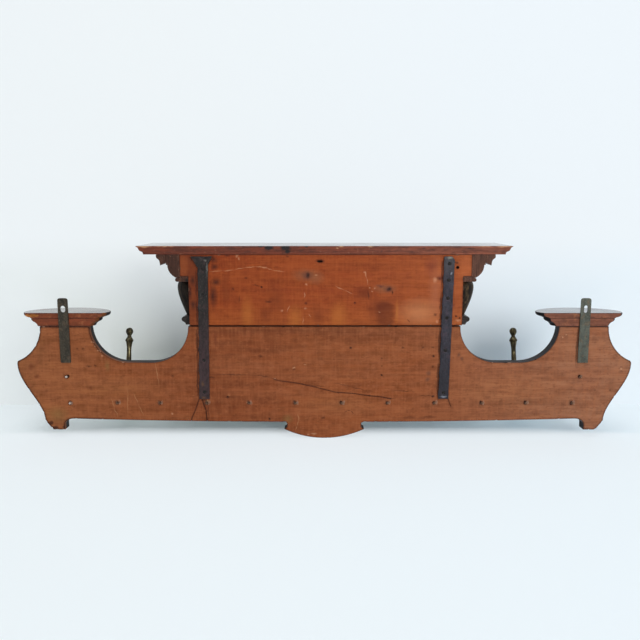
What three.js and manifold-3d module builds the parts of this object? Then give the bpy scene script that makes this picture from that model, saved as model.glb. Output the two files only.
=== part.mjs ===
// A wall coat rack with a hat shelf, two end shelves and a row of brass hooks.
// Millimetres, +Z up. The wall is the plane Y = 0 and the rack's front faces -Y.
// The origin lies on the wall, midway between the holes of the two hanger plates.
// Left and right are as seen by someone who faces the rack, so right is +X.
import * as THREE from "three";
import { mergeVertices } from "three/addons/utils/BufferGeometryUtils.js";
import Module from "manifold-3d";

const wasm = await Module();
wasm.setup();

// Boards, and what lies behind and before them
const GAP = 0.3; // air between two pieces that touch
const IRON = 3.2; // thickness of straps and hanger plates
const BACK = -(IRON + GAP); // back plane of the wood
const CORE = 22.7; // thickness of the pine boards
const FACING = 1.5; // thickness of the walnut facing
const CORE_FRONT = BACK - CORE;
const FACING_BACK = CORE_FRONT - GAP;
const FACE = FACING_BACK - FACING; // the rack's front face
const ON_FACE = FACE - GAP; // back of what is fixed to the front face
const CLEAR = 1; // how far a drill or saw runs past a face

// How finely round shapes are faceted
const OUTLINE_STEPS = 16; // to each curve of a board's outline
const SECTION_STEPS = 4; // to each curve of a moulding's section
const SLOT_STEPS = 4;
const END_STEPS = 12; // to half of an end shelf's plan
const COLUMN_STEPS = 8; // to each curve of a column's profile
const TURNED_SIDES = 24;
const PIN_SIDES = 12;
const SMALL_SIDES = 8; // arms, wood screws and drilled holes

// Outline of the main board, half of it, in X and Z
const SEAM = -37.2; // top of the main board
const SEAM_OPEN = 2.4; // shrinkage gap between main and upper board
const BAY = { inX: 286.2, outX: 493.8, floorZ: -114.5, reach: 79 }; // the two U-shaped bays
const NECK_OUT = 597.8;
const FLARE = { across: 82, down: 80, turn: THREE.MathUtils.degToRad(67.5) };
const TIP = { x: 650.2, z: -118, rise: 4.5 };
const BELLY = { high: 44, low: 40 };
const FOOT = {
  outX: 597.8, outZ: -242, cornerX: 585, cornerZ: -258.2, round: 3, toeX: 578, inX: 557, floorZ: -261.8,
};
const COVE = { x: 537, z: -251, across: 20, up: 13.7 };
const HEM = { midX: 320, midZ: -243.6, inX: 85, inZ: -244.6, drop: 1 };
const PENDANT = {
  notchX: 79, notchZ: -250.5, hornX: 85.5, hornZ: -260.6, throat: 2.5, lowZ: -280.3, radius: 195.4,
};

// Upper board: it and all that is fixed to its front sit a little to the left of the main board's middle
const UPPER_MIDDLE = -3;
const UPPER_HALF = 286;
const EAR_HALF = 303;
const EAR_BOTTOM = 68.5;

// Section of a moulding's edge, each point given as distance inwards from the outermost edge, and height.
// A move of two numbers goes straight to its point, one of four bends there past a control point.
function section(start, ...moves) {
  const path = new THREE.Path().moveTo(...start);
  for (const move of moves) {
    if (move.length === 2) path.lineTo(...move);
    else path.quadraticCurveTo(...move);
  }
  return path.getPoints(SECTION_STEPS).map((p) => [p.x, p.y]);
}

// Hat shelf, its mouldings, and the soffit that closes the box below it
const SHELF_BOTTOM = 113.7;
const BOX_TOP = SHELF_BOTTOM - GAP;
const SHELF = { half: 389.9, depth: 150 };
const SHELF_EDGE = section(
  [14.7, SHELF_BOTTOM], [14.7, 115.6], [14, 119.2, 10.2, 120], [6.6, 120.8, 5.6, 124], [4.2, 128.6, 0, 129.5],
  [0, 131.2],
);
const FRIEZE = { half: 331.3, depth: 94 };
const FRIEZE_SECTION = section(
  [28, 65.5], [19.3, 65.5], [4.8, 73.5, 2.8, 88], [2.8, 92], [0, 92], [0, BOX_TOP], [28, BOX_TOP],
);
const BED_SECTION = section(
  [20, 96.5], [8, 91], [7.8, 102, 4, 104], [0.2, 106, 0, 109], [0, BOX_TOP], [20, BOX_TOP],
);
const BED_REACH = 20.3; // how far the bed moulding stands out from the frieze
const SOFFIT_HALF = 313.5;
const SOFFIT_BOTTOM = 57;
const SOFFIT_EDGE = section(
  [4, SOFFIT_BOTTOM], [0, 57.6, 0, 61], [0, 64.8, 4, 65.2], [10.6, 65.2], [10.6, 68.2],
);

// Ledge and turned columns
const LEDGE_HALF = 307.1;
const LEDGE_TOP = -18.7;
const LEDGE_EDGE = section(
  [9, -36.9], [7.5, -31.6, 3.8, -30.4], [0, -29, 0, -25], [0.4, -19.4, 8.5, LEDGE_TOP],
);
const COLUMN = {
  x: 290.5, bottomR: 11, hollowR: 18, hollowZ: 14, bellyR: 28.5, bellyZ: 40, swell: 26, topR: 21, neck: 4,
};

// End shelves, and the hanger plates on the columns behind them
const END_X = 546.3;
const END_SHELF_X = { right: 546.3, left: -541.3 };
const END_PLAN = { half: 80.5, depth: 84, bulge: 34, bulgeAt: 0.42, frontHold: 0.75 };
const END_SHELF_EDGE = section([12, -19.9], [11, -18], [0.6, -17.6, 0, -11.5], [0, -9.5], [0.8, -8.5]);
const END_BED_EDGE = section(
  [26.5, -36.6], [24.8, -30.8, 20, -28.6], [14.8, -26.4, 14.5, -22.6], [14.5, -20.2],
);

// Ironwork
const STRAP = { width: 22, top: 110, bottom: -193.5, corner: 2, snipWide: 6, snipTall: 7 };
const FISHTAIL = { right: 22.3, left: 17.5, tall: 24, shoulder: 6, lip: 7, corner: 2 };
const STRAP_RIGHT = { topX: 251.7, bottomX: 255, screws: [84, 30, -109, -178] };
const STRAP_LEFT = { topX: -258.9, bottomX: -253.7, screws: [95, 60.8, 23, -18.7, -88, -179.6] };
const HANGER = { width: 21, top: 23, bottom: -114.3, corner: 5.5, screws: [-79, -103] };
const HANGER_SLOTS = { right: { half: 5.3, tall: 7 }, left: { half: 4, tall: 8 } };
const SCREW = { headR: 4, headDeep: 2, sunk: 0.4, shankR: 1.7, length: 19 };

// Hooks: the screw of each one runs through the board and its point shows at the back
const HOOK_Z = -202.9;
const HOOK_X = [543, 442, 351, 251, 161, 62, -37, -135, -235, -336, -430, -529];
const TALL_EVERY = 3; // the second hook is a tall one, and then every third
const PIN = { r: 2.5, hole: 2.9, taper: 3, point: 0.7, pointR: 0.8 };
// Turned faces are given as radius, and distance out from the board
const ROSE = [[0, 9], [6.5, 9], [8, 5.5], [11.5, 3], [12, 0]];
const ROSETTE_AT = { z: -145.4, rightX: 547.6, leftX: -542.7 };
const ROSETTE = [[26, 0], [26, 3], [23, 5.5], [19, 5], [16, 7], [14, 11], [9, 12]];
const ROSETTE_HEAD = [[0, 3.4], [3, 2.9], [5, 1], [5, 0]];
// Arms are given as distance out from the board, height above the screw, and radius
const TALL_ARM = [
  [4, 0, 6], [14, -2, 6], [29, 0, 5.8], [44, 8, 5.8], [56, 21, 5.8], [65, 38, 5.8], [71, 56, 5.8],
  [75.5, 72, 5.6], [80, 89, 5], [83.2, 101, 5.4], [84.9, 107.5, 6.6], [86.2, 112, 7.6], [86.8, 114.6, 9],
  [87.7, 118.4, 7.8], [88.7, 122.4, 5.2], [89.4, 125.4, 4.2], [90.1, 128.6, 5.8], [91, 132, 7.6],
  [92.2, 136, 8], [93.3, 140, 6.6], [94, 143.2, 2.2],
];
const LOW_ARM = [
  [4, -2, 5.5], [14, -11, 5.2], [27, -21, 5], [41, -27, 4.8], [54, -25, 4.6], [62, -17, 4.4], [65, -8, 4.3],
  [65.8, -3.5, 5.6], [66.2, 0.5, 6.6], [66.4, 4.5, 5.4], [66.5, 7, 1.8],
];
const SHORT_ARM = [
  [4, 0, 6], [14, -5, 5.5], [27, -10, 5.2], [40, -8, 5], [49, 2, 4.8], [53, 14, 4.6], [54, 20, 4.5],
  [54.4, 25, 6.2], [54.7, 29.5, 7.2], [55, 34, 6], [55.1, 37, 2],
];

const finishes = {
  mainPine: new THREE.MeshStandardMaterial({ color: 0x8c5232, roughness: 0.75, metalness: 0 }),
  upperPine: new THREE.MeshStandardMaterial({ color: 0x964823, roughness: 0.7, metalness: 0 }),
  walnut: new THREE.MeshStandardMaterial({ color: 0x54382c, roughness: 0.5, metalness: 0 }),
  facing: new THREE.MeshStandardMaterial({ color: 0x5a3521, roughness: 0.35, metalness: 0 }),
  shelfWood: new THREE.MeshStandardMaterial({ color: 0x6b3f2f, roughness: 0.4, metalness: 0 }),
  strapIron: new THREE.MeshStandardMaterial({ color: 0x3c393b, roughness: 0.6, metalness: 0.8 }),
  hangerIron: new THREE.MeshStandardMaterial({ color: 0x4a4a42, roughness: 0.55, metalness: 0.8 }),
  brass: new THREE.MeshStandardMaterial({ color: 0x6e6236, roughness: 0.4, metalness: 1 }),
  steel: new THREE.MeshStandardMaterial({ color: 0x6a6660, roughness: 0.5, metalness: 1 }),
};

const rack = new THREE.Group();

function add(name, geometry, material) {
  const mesh = new THREE.Mesh(geometry, material);
  mesh.name = name;
  rack.add(mesh);
}

// Volume between a closed geometry's faces, negative when they point inwards
function volumeOf(geometry) {
  const flat = geometry.index ? geometry.toNonIndexed() : geometry;
  const p = flat.getAttribute("position");
  const corner = [new THREE.Vector3(), new THREE.Vector3(), new THREE.Vector3()];
  let sum = 0;
  for (let i = 0; i < p.count; i += 3) {
    corner.forEach((v, k) => v.fromBufferAttribute(p, i + k));
    sum += corner[0].dot(corner[1].cross(corner[2]));
  }
  return sum / 6;
}

// Position and faces only, shared corners merged, faces turned outwards
function tidy(geometry) {
  const bare = new THREE.BufferGeometry().setAttribute("position", geometry.getAttribute("position"));
  if (geometry.index) bare.setIndex(geometry.index);
  const merged = mergeVertices(bare, 1e-4);
  if (volumeOf(merged) < 0) {
    const faces = merged.index.array;
    for (let i = 0; i < faces.length; i += 3) [faces[i + 1], faces[i + 2]] = [faces[i + 2], faces[i + 1]];
  }
  return merged;
}

function toSolid(geometry) {
  const g = tidy(geometry);
  return new wasm.Manifold(new wasm.Mesh({
    numProp: 3,
    vertProperties: new Float32Array(g.getAttribute("position").array),
    triVerts: new Uint32Array(g.index.array),
  }));
}

function fromSolid(solid) {
  const m = solid.getMesh();
  const g = new THREE.BufferGeometry();
  g.setAttribute("position", new THREE.BufferAttribute(m.vertProperties, 3));
  g.setIndex(new THREE.BufferAttribute(m.triVerts, 1));
  return g;
}

function join(...parts) {
  return fromSolid(parts.map(toSolid).reduce((a, b) => a.add(b)));
}

function cut(whole, ...tools) {
  return fromSolid(tools.map(toSolid).reduce((a, b) => a.subtract(b), toSolid(whole)));
}

// A flat plate: an outline in X and Z, from yBack towards the front
function plate(shape, yBack, thickness) {
  const solid = { depth: thickness, bevelEnabled: false, curveSegments: SLOT_STEPS };
  const g = new THREE.ExtrudeGeometry(shape, solid);
  return g.rotateX(Math.PI / 2).translate(0, yBack, 0);
}

function shapeOf(points) {
  return new THREE.Shape(points.map(([x, z]) => new THREE.Vector2(x, z)));
}

// Half an outline, given for +X from top to bottom, mirrored into a whole one
function mirrored(half) {
  const offAxis = half.filter((p) => Math.abs(p.x) > 1e-6).reverse();
  return new THREE.Shape([...half, ...offAxis.map((p) => new THREE.Vector2(-p.x, p.y))]);
}

// A closed skin through rings of equal length, with its two ends capped
function loft(rings, capPoint) {
  const n = rings[0].length;
  const index = [];
  for (let r = 0; r < rings.length - 1; r++) {
    for (let i = 0; i < n; i++) {
      const a = r * n + i;
      const b = r * n + ((i + 1) % n);
      index.push(a, b, b + n, a, b + n, a + n);
    }
  }
  const contour = rings[0].map(capPoint);
  const clockwise = THREE.ShapeUtils.isClockWise(contour);
  const last = (rings.length - 1) * n;
  for (const face of THREE.ShapeUtils.triangulateShape(contour, [])) {
    const [a, b, c] = clockwise ? face.reverse() : face;
    index.push(a, c, b, last + a, last + b, last + c);
  }
  const g = new THREE.BufferGeometry();
  g.setAttribute("position", new THREE.Float32BufferAttribute(rings.flat(2), 3));
  g.setIndex(index);
  return tidy(g);
}

// A board whose edge is moulded: its plan shrinks by each offset at each height of the section
function mouldedBoard(plan, section) {
  const rings = section.map(([inset, z]) => plan(inset).map(([x, y]) => [x, y, z]));
  return loft(rings, ([x, y]) => new THREE.Vector2(x, y));
}

// Plan of a board across the rack, square at the back and moulded at front and ends
function crossPlan(half, yBack, yFront) {
  return (inset) => {
    const x = half - inset;
    const y = yFront + inset;
    return [[x, yBack], [-x, yBack], [-x, y], [x, y]];
  };
}

// A mitred length of moulding along the front of a box
function frontMoulding(half, yOuter, section) {
  const end = (side) => section.map(([inset, z]) => [side * (half - inset - GAP / 2), yOuter + inset, z]);
  return loft([end(-1), end(1)], ([, y, z]) => new THREE.Vector2(y, z));
}

// The return of that moulding at one end of the box, from the wall to the mitre
function sideMoulding(side, half, yOuter, section) {
  const back = section.map(([inset, z]) => [side * (half - inset), BACK, z]);
  const mitre = section.map(([inset, z]) => [side * (half - inset), yOuter + inset + GAP / 2, z]);
  return loft([back, mitre], ([x, , z]) => new THREE.Vector2(x, z));
}

// A turned piece: its profile is given as radius, and distance along the Y axis
function turned(profile, sides) {
  return tidy(new THREE.LatheGeometry(profile.map(([r, y]) => new THREE.Vector2(r, y)), sides));
}

function outwards(face, from) {
  return face.map(([r, out]) => [r, from - out]);
}

// Moves a piece that is drawn about the middle of the rack to the middle of the upper board
function onUpper(g) {
  return g.translate(UPPER_MIDDLE, 0, 0);
}

function mainOutline() {
  const p = new THREE.Path();
  const turn = Math.PI;
  const bayDrop = SEAM - BAY.floorZ;
  p.moveTo(0, SEAM);
  p.lineTo(BAY.inX, SEAM);
  p.absellipse(BAY.inX + BAY.reach, SEAM, BAY.reach, bayDrop, turn, 1.5 * turn, false);
  p.absellipse(BAY.outX - BAY.reach, SEAM, BAY.reach, bayDrop, 1.5 * turn, 2 * turn, false);
  p.lineTo(NECK_OUT, SEAM);
  p.absellipse(NECK_OUT + FLARE.across, SEAM, FLARE.across, FLARE.down, turn, turn + FLARE.turn, false);
  p.quadraticCurveTo(TIP.x, TIP.z + TIP.rise, TIP.x, TIP.z);
  p.bezierCurveTo(TIP.x, TIP.z - BELLY.high, FOOT.outX, FOOT.outZ + BELLY.low, FOOT.outX, FOOT.outZ);
  p.lineTo(FOOT.cornerX, FOOT.cornerZ);
  p.quadraticCurveTo(FOOT.cornerX - FOOT.round, FOOT.floorZ, FOOT.toeX, FOOT.floorZ);
  p.lineTo(FOOT.inX, FOOT.floorZ);
  p.absellipse(COVE.x, COVE.z, COVE.across, COVE.up, 0, turn / 2, false);
  p.quadraticCurveTo(HEM.midX, HEM.midZ, HEM.inX, HEM.inZ);
  p.quadraticCurveTo(PENDANT.notchX, HEM.inZ - HEM.drop, PENDANT.notchX, PENDANT.notchZ);
  p.quadraticCurveTo(PENDANT.notchX, PENDANT.hornZ + PENDANT.throat, PENDANT.hornX, PENDANT.hornZ);
  const centreZ = PENDANT.lowZ + PENDANT.radius;
  const hornAngle = Math.atan2(PENDANT.hornZ - centreZ, PENDANT.hornX);
  p.absarc(0, centreZ, PENDANT.radius, hornAngle, -turn / 2, true);
  return mirrored(p.getPoints(OUTLINE_STEPS));
}

function upperOutline() {
  const bottom = SEAM + SEAM_OPEN;
  const half = [[EAR_HALF, BOX_TOP], [EAR_HALF, EAR_BOTTOM], [UPPER_HALF, EAR_BOTTOM], [UPPER_HALF, bottom]];
  return mirrored(half.map(([x, z]) => new THREE.Vector2(x, z)));
}

// Countersunk wood screw from the back, its head just below the face of the iron
function screwProfile(grow) {
  const r = SCREW.shankR + grow;
  const tip = -SCREW.length - grow;
  return [[0, tip], [r, tip], [r, -SCREW.headDeep], [SCREW.headR + grow, -SCREW.sunk]];
}

function screw(x, z) {
  return turned([...screwProfile(0), [0, -SCREW.sunk]], SMALL_SIDES).translate(x, 0, z);
}

function screwHole(x, z) {
  const mouth = [[SCREW.headR + GAP, CLEAR], [0, CLEAR]];
  return turned([...screwProfile(GAP), ...mouth], SMALL_SIDES).translate(x, 0, z);
}

function pinHole(x, z) {
  const front = FACE - CLEAR;
  const profile = [[0, front], [PIN.hole, front], [PIN.hole, CLEAR], [0, CLEAR]];
  return turned(profile, SMALL_SIDES).translate(x, 0, z);
}

function strapX(strap, z) {
  return THREE.MathUtils.mapLinear(z, STRAP.bottom, STRAP.top, strap.bottomX, strap.topX);
}

// A plain strap with a snipped top corner
function plainStrap(strap) {
  const half = STRAP.width / 2;
  return plate(shapeOf([
    [strap.topX + half - STRAP.corner, STRAP.top],
    [strap.topX + half, STRAP.top - STRAP.corner],
    [strap.bottomX + half, STRAP.bottom],
    [strap.bottomX - half, STRAP.bottom],
    [strap.topX - half, STRAP.top - STRAP.snipTall],
    [strap.topX - half + STRAP.snipWide, STRAP.top],
  ]), 0, IRON);
}

// A strap whose top is drawn out into a fishtail
function fishtailStrap(strap) {
  const half = STRAP.width / 2;
  const flareZ = STRAP.top - FISHTAIL.tall;
  const flareX = strapX(strap, flareZ);
  return plate(shapeOf([
    [strap.topX + FISHTAIL.right, STRAP.top],
    [strap.topX + FISHTAIL.right - FISHTAIL.corner, STRAP.top - FISHTAIL.lip],
    [flareX + half, flareZ],
    [strap.bottomX + half, STRAP.bottom],
    [strap.bottomX - half, STRAP.bottom],
    [flareX - half, flareZ + FISHTAIL.shoulder],
    [strap.topX - FISHTAIL.left, STRAP.top],
  ]), 0, IRON);
}

function hangerPlate(x, slot) {
  const half = HANGER.width / 2;
  const c = HANGER.corner;
  const s = new THREE.Shape();
  s.moveTo(x - half, HANGER.bottom);
  s.lineTo(x + half, HANGER.bottom);
  s.lineTo(x + half, HANGER.top - c);
  s.quadraticCurveTo(x + half, HANGER.top, x + half - c, HANGER.top);
  s.lineTo(x - half + c, HANGER.top);
  s.quadraticCurveTo(x - half, HANGER.top, x - half, HANGER.top - c);
  const hole = new THREE.Path();
  const straight = slot.tall - slot.half;
  hole.absarc(x, straight, slot.half, 0, Math.PI, false);
  hole.absarc(x, -straight, slot.half, Math.PI, 2 * Math.PI, false);
  s.holes.push(hole);
  return plate(s, 0, IRON);
}

const screwPlaces = [];

function fixIron(name, iron, places, material) {
  add(name, cut(iron, ...places.map(([x, z]) => screwHole(x, z))), material);
  places.forEach(([x, z], i) => add(name + "_screw_" + (i + 1), screw(x, z), finishes.steel));
  screwPlaces.push(...places);
}

function straps() {
  const along = (strap) => strap.screws.map((z) => [strapX(strap, z), z]);
  fixIron("strap_right", fishtailStrap(STRAP_RIGHT), along(STRAP_RIGHT), finishes.strapIron);
  fixIron("strap_left", plainStrap(STRAP_LEFT), along(STRAP_LEFT), finishes.strapIron);
}

function hangers() {
  for (const [side, x] of [["right", END_X], ["left", -END_X]]) {
    const places = HANGER.screws.map((z) => [x, z]);
    fixIron("hanger_" + side, hangerPlate(x, HANGER_SLOTS[side]), places, finishes.hangerIron);
  }
}

function boards() {
  const pins = HOOK_X.map((x) => [x, HOOK_Z]);
  pins.push([ROSETTE_AT.rightX, ROSETTE_AT.z], [ROSETTE_AT.leftX, ROSETTE_AT.z]);
  const holes = pins.map(([x, z]) => pinHole(x, z));
  const sinks = screwPlaces.map(([x, z]) => screwHole(x, z));
  const outline = mainOutline();
  add("main_board", cut(plate(outline, BACK, CORE), ...holes, ...sinks), finishes.mainPine);
  add("main_facing", cut(plate(outline, FACING_BACK, FACING), ...holes), finishes.facing);
  add("upper_board", cut(onUpper(plate(upperOutline(), BACK, CORE)), ...sinks), finishes.upperPine);
  const x = UPPER_HALF;
  const low = LEDGE_TOP + GAP;
  const high = SOFFIT_BOTTOM - GAP;
  const panel = shapeOf([[x, high], [x, low], [-x, low], [-x, high]]);
  add("upper_facing", onUpper(plate(panel, FACING_BACK, FACING)), finishes.facing);
}

function hatShelf() {
  const friezeFront = BACK - FRIEZE.depth;
  const bedFront = friezeFront - BED_REACH;
  const bedHalf = FRIEZE.half + BED_REACH;
  const board = mouldedBoard(crossPlan(SHELF.half, BACK, BACK - SHELF.depth), SHELF_EDGE);
  add("hat_shelf", board, finishes.shelfWood);
  add("frieze_front", onUpper(frontMoulding(FRIEZE.half, friezeFront, FRIEZE_SECTION)), finishes.walnut);
  add("bed_moulding_front", onUpper(frontMoulding(bedHalf, bedFront, BED_SECTION)), finishes.walnut);
  for (const [side, sign] of [["right", 1], ["left", -1]]) {
    const frieze = sideMoulding(sign, FRIEZE.half, friezeFront, FRIEZE_SECTION);
    const bed = sideMoulding(sign, bedHalf, bedFront, BED_SECTION);
    add("frieze_" + side, onUpper(frieze), finishes.walnut);
    add("bed_moulding_" + side, onUpper(bed), finishes.walnut);
  }
}

// The soffit closes the box from below and is notched round the upper board
function soffit() {
  const front = BACK - FRIEZE.depth + (FRIEZE.half - SOFFIT_HALF);
  const slab = mouldedBoard(crossPlan(SOFFIT_HALF, BACK, front), SOFFIT_EDGE);
  const notchTall = 2 * (EAR_BOTTOM - SOFFIT_BOTTOM);
  const notch = new THREE.BoxGeometry(2 * (UPPER_HALF + GAP), 2 * (CORE + GAP), notchTall);
  notch.translate(0, BACK, (EAR_BOTTOM + SOFFIT_BOTTOM) / 2);
  add("soffit", onUpper(cut(slab, notch)), finishes.walnut);
}

function columnsAndLedge() {
  const axisY = ON_FACE - COLUMN.bellyR;
  const overhang = LEDGE_HALF - COLUMN.x;
  const ledge = mouldedBoard(crossPlan(LEDGE_HALF, FACING_BACK, axisY - overhang), LEDGE_EDGE);
  add("ledge", onUpper(ledge), finishes.walnut);
  const { bottomR, hollowR, hollowZ, bellyR, bellyZ, swell, topR, neck } = COLUMN;
  const bottom = LEDGE_TOP + GAP;
  const top = SOFFIT_BOTTOM - GAP;
  const profile = new THREE.Path();
  profile.moveTo(0, bottom);
  profile.lineTo(bottomR, bottom);
  profile.bezierCurveTo(hollowR, bottom + hollowZ, bellyR, bellyZ - swell, bellyR, bellyZ);
  profile.quadraticCurveTo(bellyR, top - neck, topR, top);
  profile.lineTo(0, top);
  const points = profile.getPoints(COLUMN_STEPS).map((p) => [p.x, p.y]);
  for (const [side, x] of [["right", COLUMN.x], ["left", -COLUMN.x]]) {
    const column = turned(points, TURNED_SIDES).rotateX(Math.PI / 2);
    add("column_" + side, onUpper(column.translate(x, axisY, 0)), finishes.walnut);
  }
}

// Plan of a half-oval shelf on the end column of the main board
function endPlan(x) {
  return (inset) => {
    const half = END_PLAN.half - inset;
    const depth = END_PLAN.depth - inset;
    const bulge = half + (END_PLAN.bulge * half) / END_PLAN.half;
    const side = new THREE.CubicBezierCurve(
      new THREE.Vector2(half, 0),
      new THREE.Vector2(bulge, depth * END_PLAN.bulgeAt),
      new THREE.Vector2(half * END_PLAN.frontHold, depth),
      new THREE.Vector2(0, depth),
    ).getPoints(END_STEPS);
    const other = side.slice(0, -1).reverse().map((p) => new THREE.Vector2(-p.x, p.y));
    return [...side, ...other].map((p) => [x + p.x, BACK - p.y]);
  };
}

function endShelves() {
  for (const [side, x] of Object.entries(END_SHELF_X)) {
    add("end_shelf_" + side, mouldedBoard(endPlan(x), END_SHELF_EDGE), finishes.shelfWood);
    add("end_bed_moulding_" + side, mouldedBoard(endPlan(x), END_BED_EDGE), finishes.shelfWood);
  }
}

// A round bar that swells and narrows along a curve, in the plane across the wall at x
function bar(stations, x) {
  const centres = stations.map(([out, up]) => new THREE.Vector3(x, FACE - out, HOOK_Z + up));
  const path = new THREE.CatmullRomCurve3(centres);
  const across = new THREE.Vector3(1, 0, 0);
  const angles = Array.from({ length: SMALL_SIDES }, (_, k) => (2 * Math.PI * k) / SMALL_SIDES);
  const rings = stations.map(([, , r], i) => {
    const t = i / (stations.length - 1);
    const normal = new THREE.Vector3().crossVectors(path.getTangent(t), across).normalize();
    return angles.map((angle) => {
      const p = path.getPoint(t).addScaledVector(across, r * Math.cos(angle));
      return p.addScaledVector(normal, r * Math.sin(angle)).toArray();
    });
  });
  return loft(rings, (_, k) => new THREE.Vector2(Math.cos(angles[k]), Math.sin(angles[k])));
}

// The screw that holds a hook or rosette, from the front face to its point at the back
function pin() {
  return [[PIN.r, ON_FACE], [PIN.r, BACK - PIN.taper], [PIN.pointR, -PIN.point], [0, -PIN.point]];
}

// A hat hook has a tall arm with collar and ball and a low arm below it, a coat hook one short arm
function hooks() {
  HOOK_X.forEach((x, i) => {
    const tall = i % TALL_EVERY === 1;
    const root = turned([...outwards(ROSE, ON_FACE), ...pin()], PIN_SIDES).translate(x, 0, HOOK_Z);
    const arms = tall ? [TALL_ARM, LOW_ARM] : [SHORT_ARM];
    const name = (tall ? "hat_hook_" : "coat_hook_") + String(i + 1).padStart(2, "0");
    add(name, join(root, ...arms.map((arm) => bar(arm, x))), finishes.brass);
  });
}

// A turned boss at each end, held by a round-head brass screw
function rosettes() {
  const crown = ROSETTE.at(-1)[1];
  const boss = [[PIN.hole, 0], ...ROSETTE, [PIN.hole, crown], [PIN.hole, 0]];
  const head = outwards(ROSETTE_HEAD, ON_FACE - crown - GAP);
  for (const [side, x] of [["right", ROSETTE_AT.rightX], ["left", ROSETTE_AT.leftX]]) {
    const disc = turned(outwards(boss, ON_FACE), TURNED_SIDES).translate(x, 0, ROSETTE_AT.z);
    const brassScrew = turned([...head, [PIN.r, head.at(-1)[1]], ...pin().slice(1)], PIN_SIDES);
    add("rosette_" + side, disc, finishes.walnut);
    add("rosette_screw_" + side, brassScrew.translate(x, 0, ROSETTE_AT.z), finishes.brass);
  }
}

straps();
hangers();
boards();
hatShelf();
soffit();
columnsAndLedge();
endShelves();
hooks();
rosettes();

export default rack;
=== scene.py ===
"""The look of a wall coat rack, seen from behind: bare pine boards that age has browned, stained walnut
mouldings and turnings, polished shelf tops, forged and rolled iron straps, and old cast brass hooks.
Metres, +Z up. The wall is the plane Y = 0, the rack's front faces -Y, and its right is +X."""
import functools
import math
import random

import bpy
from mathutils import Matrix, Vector


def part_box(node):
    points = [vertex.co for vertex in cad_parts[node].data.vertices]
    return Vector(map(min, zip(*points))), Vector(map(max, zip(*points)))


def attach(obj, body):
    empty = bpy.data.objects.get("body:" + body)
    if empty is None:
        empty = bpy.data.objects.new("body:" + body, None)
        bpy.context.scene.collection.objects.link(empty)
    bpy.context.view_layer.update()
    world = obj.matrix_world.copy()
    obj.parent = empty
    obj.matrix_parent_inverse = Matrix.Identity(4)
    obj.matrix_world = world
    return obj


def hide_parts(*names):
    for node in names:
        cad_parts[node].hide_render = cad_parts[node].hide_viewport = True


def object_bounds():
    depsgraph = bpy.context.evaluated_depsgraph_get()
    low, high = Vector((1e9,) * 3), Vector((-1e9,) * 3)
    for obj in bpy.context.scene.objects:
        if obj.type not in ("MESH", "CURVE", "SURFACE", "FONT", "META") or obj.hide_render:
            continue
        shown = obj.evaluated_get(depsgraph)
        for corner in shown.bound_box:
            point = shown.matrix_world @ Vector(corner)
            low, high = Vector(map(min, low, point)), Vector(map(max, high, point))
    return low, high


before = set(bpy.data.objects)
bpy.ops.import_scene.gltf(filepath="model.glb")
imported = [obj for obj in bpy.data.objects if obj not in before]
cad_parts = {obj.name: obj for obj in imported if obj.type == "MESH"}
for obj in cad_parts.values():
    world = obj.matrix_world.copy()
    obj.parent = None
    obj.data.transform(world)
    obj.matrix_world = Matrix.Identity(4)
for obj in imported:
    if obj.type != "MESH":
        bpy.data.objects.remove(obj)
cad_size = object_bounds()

MM = 0.001
BODY = "root"
SEED = 7
REAR, FRONT, UP = (0, 1, 0), (0, -1, 0), (0, 0, 1)

# Planes of the rack in metres, from its boards and hooks
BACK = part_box("main_board")[1].y
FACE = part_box("main_facing")[0].y
FLOOR = cad_size[0].z
HOOK_GAP = 0.3 * MM
SCREW_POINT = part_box("coat_hook_01")[1].y
HOOK_ROW = -202.9 * MM

# Camera: the photograph's place, tilt and angle of view
CAMERA = {"place": (0.009, 1.4265, 0.2006), "down": 8.9, "focal_px": 690, "frame_px": 640, "sensor": 36}


def new_object(name, data):
    made = bpy.data.objects.new(name, data)
    bpy.context.scene.collection.objects.link(made)
    return made


def make_camera():
    data = bpy.data.cameras.new("camera")
    data.sensor_width = CAMERA["sensor"]
    data.lens = CAMERA["sensor"] * CAMERA["focal_px"] / CAMERA["frame_px"]
    camera = new_object("camera", data)
    camera.location = CAMERA["place"]
    camera.rotation_euler = (math.radians(90 - CAMERA["down"]), 0, math.pi)
    bpy.context.scene.camera = camera


def linear(hex_colour):
    """An sRGB hex colour as the linear values that a shader takes"""
    values = [int(hex_colour[i:i + 2], 16) / 255 for i in (1, 3, 5)]
    return tuple(v / 12.92 if v <= 0.04045 else ((v + 0.055) / 1.055) ** 2.4 for v in values) + (1.0,)


def add_node(tree, kind, inputs=None, **settings):
    """Adds a shader node, each input a value or another node's output, and gives back its outputs"""
    made = tree.nodes.new("ShaderNode" + kind)
    for name, value in settings.items():
        setattr(made, name, value)
    for socket, value in (inputs or {}).items():
        if isinstance(value, bpy.types.NodeSocket):
            tree.links.new(value, made.inputs[socket])
        else:
            made.inputs[socket].default_value = value
    return made.outputs


# Sockets of the colour mix: how much, the colour below, the colour laid over it, and the result
AMOUNT, BELOW, OVER, MIXED = 0, 6, 7, 2
# An edge mask counts as none and as full at these shares of open wood around a point
RIM = {"none": 0.95, "full": 0.6, "samples": 8}
# The shader's own sockets that hold one value all over a surface
PLAIN = {"rough": "Roughness", "shine": "Specular IOR Level", "metal": "Metallic", "coat": "Coat Weight",
         "coat_rough": "Coat Roughness"}


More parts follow.
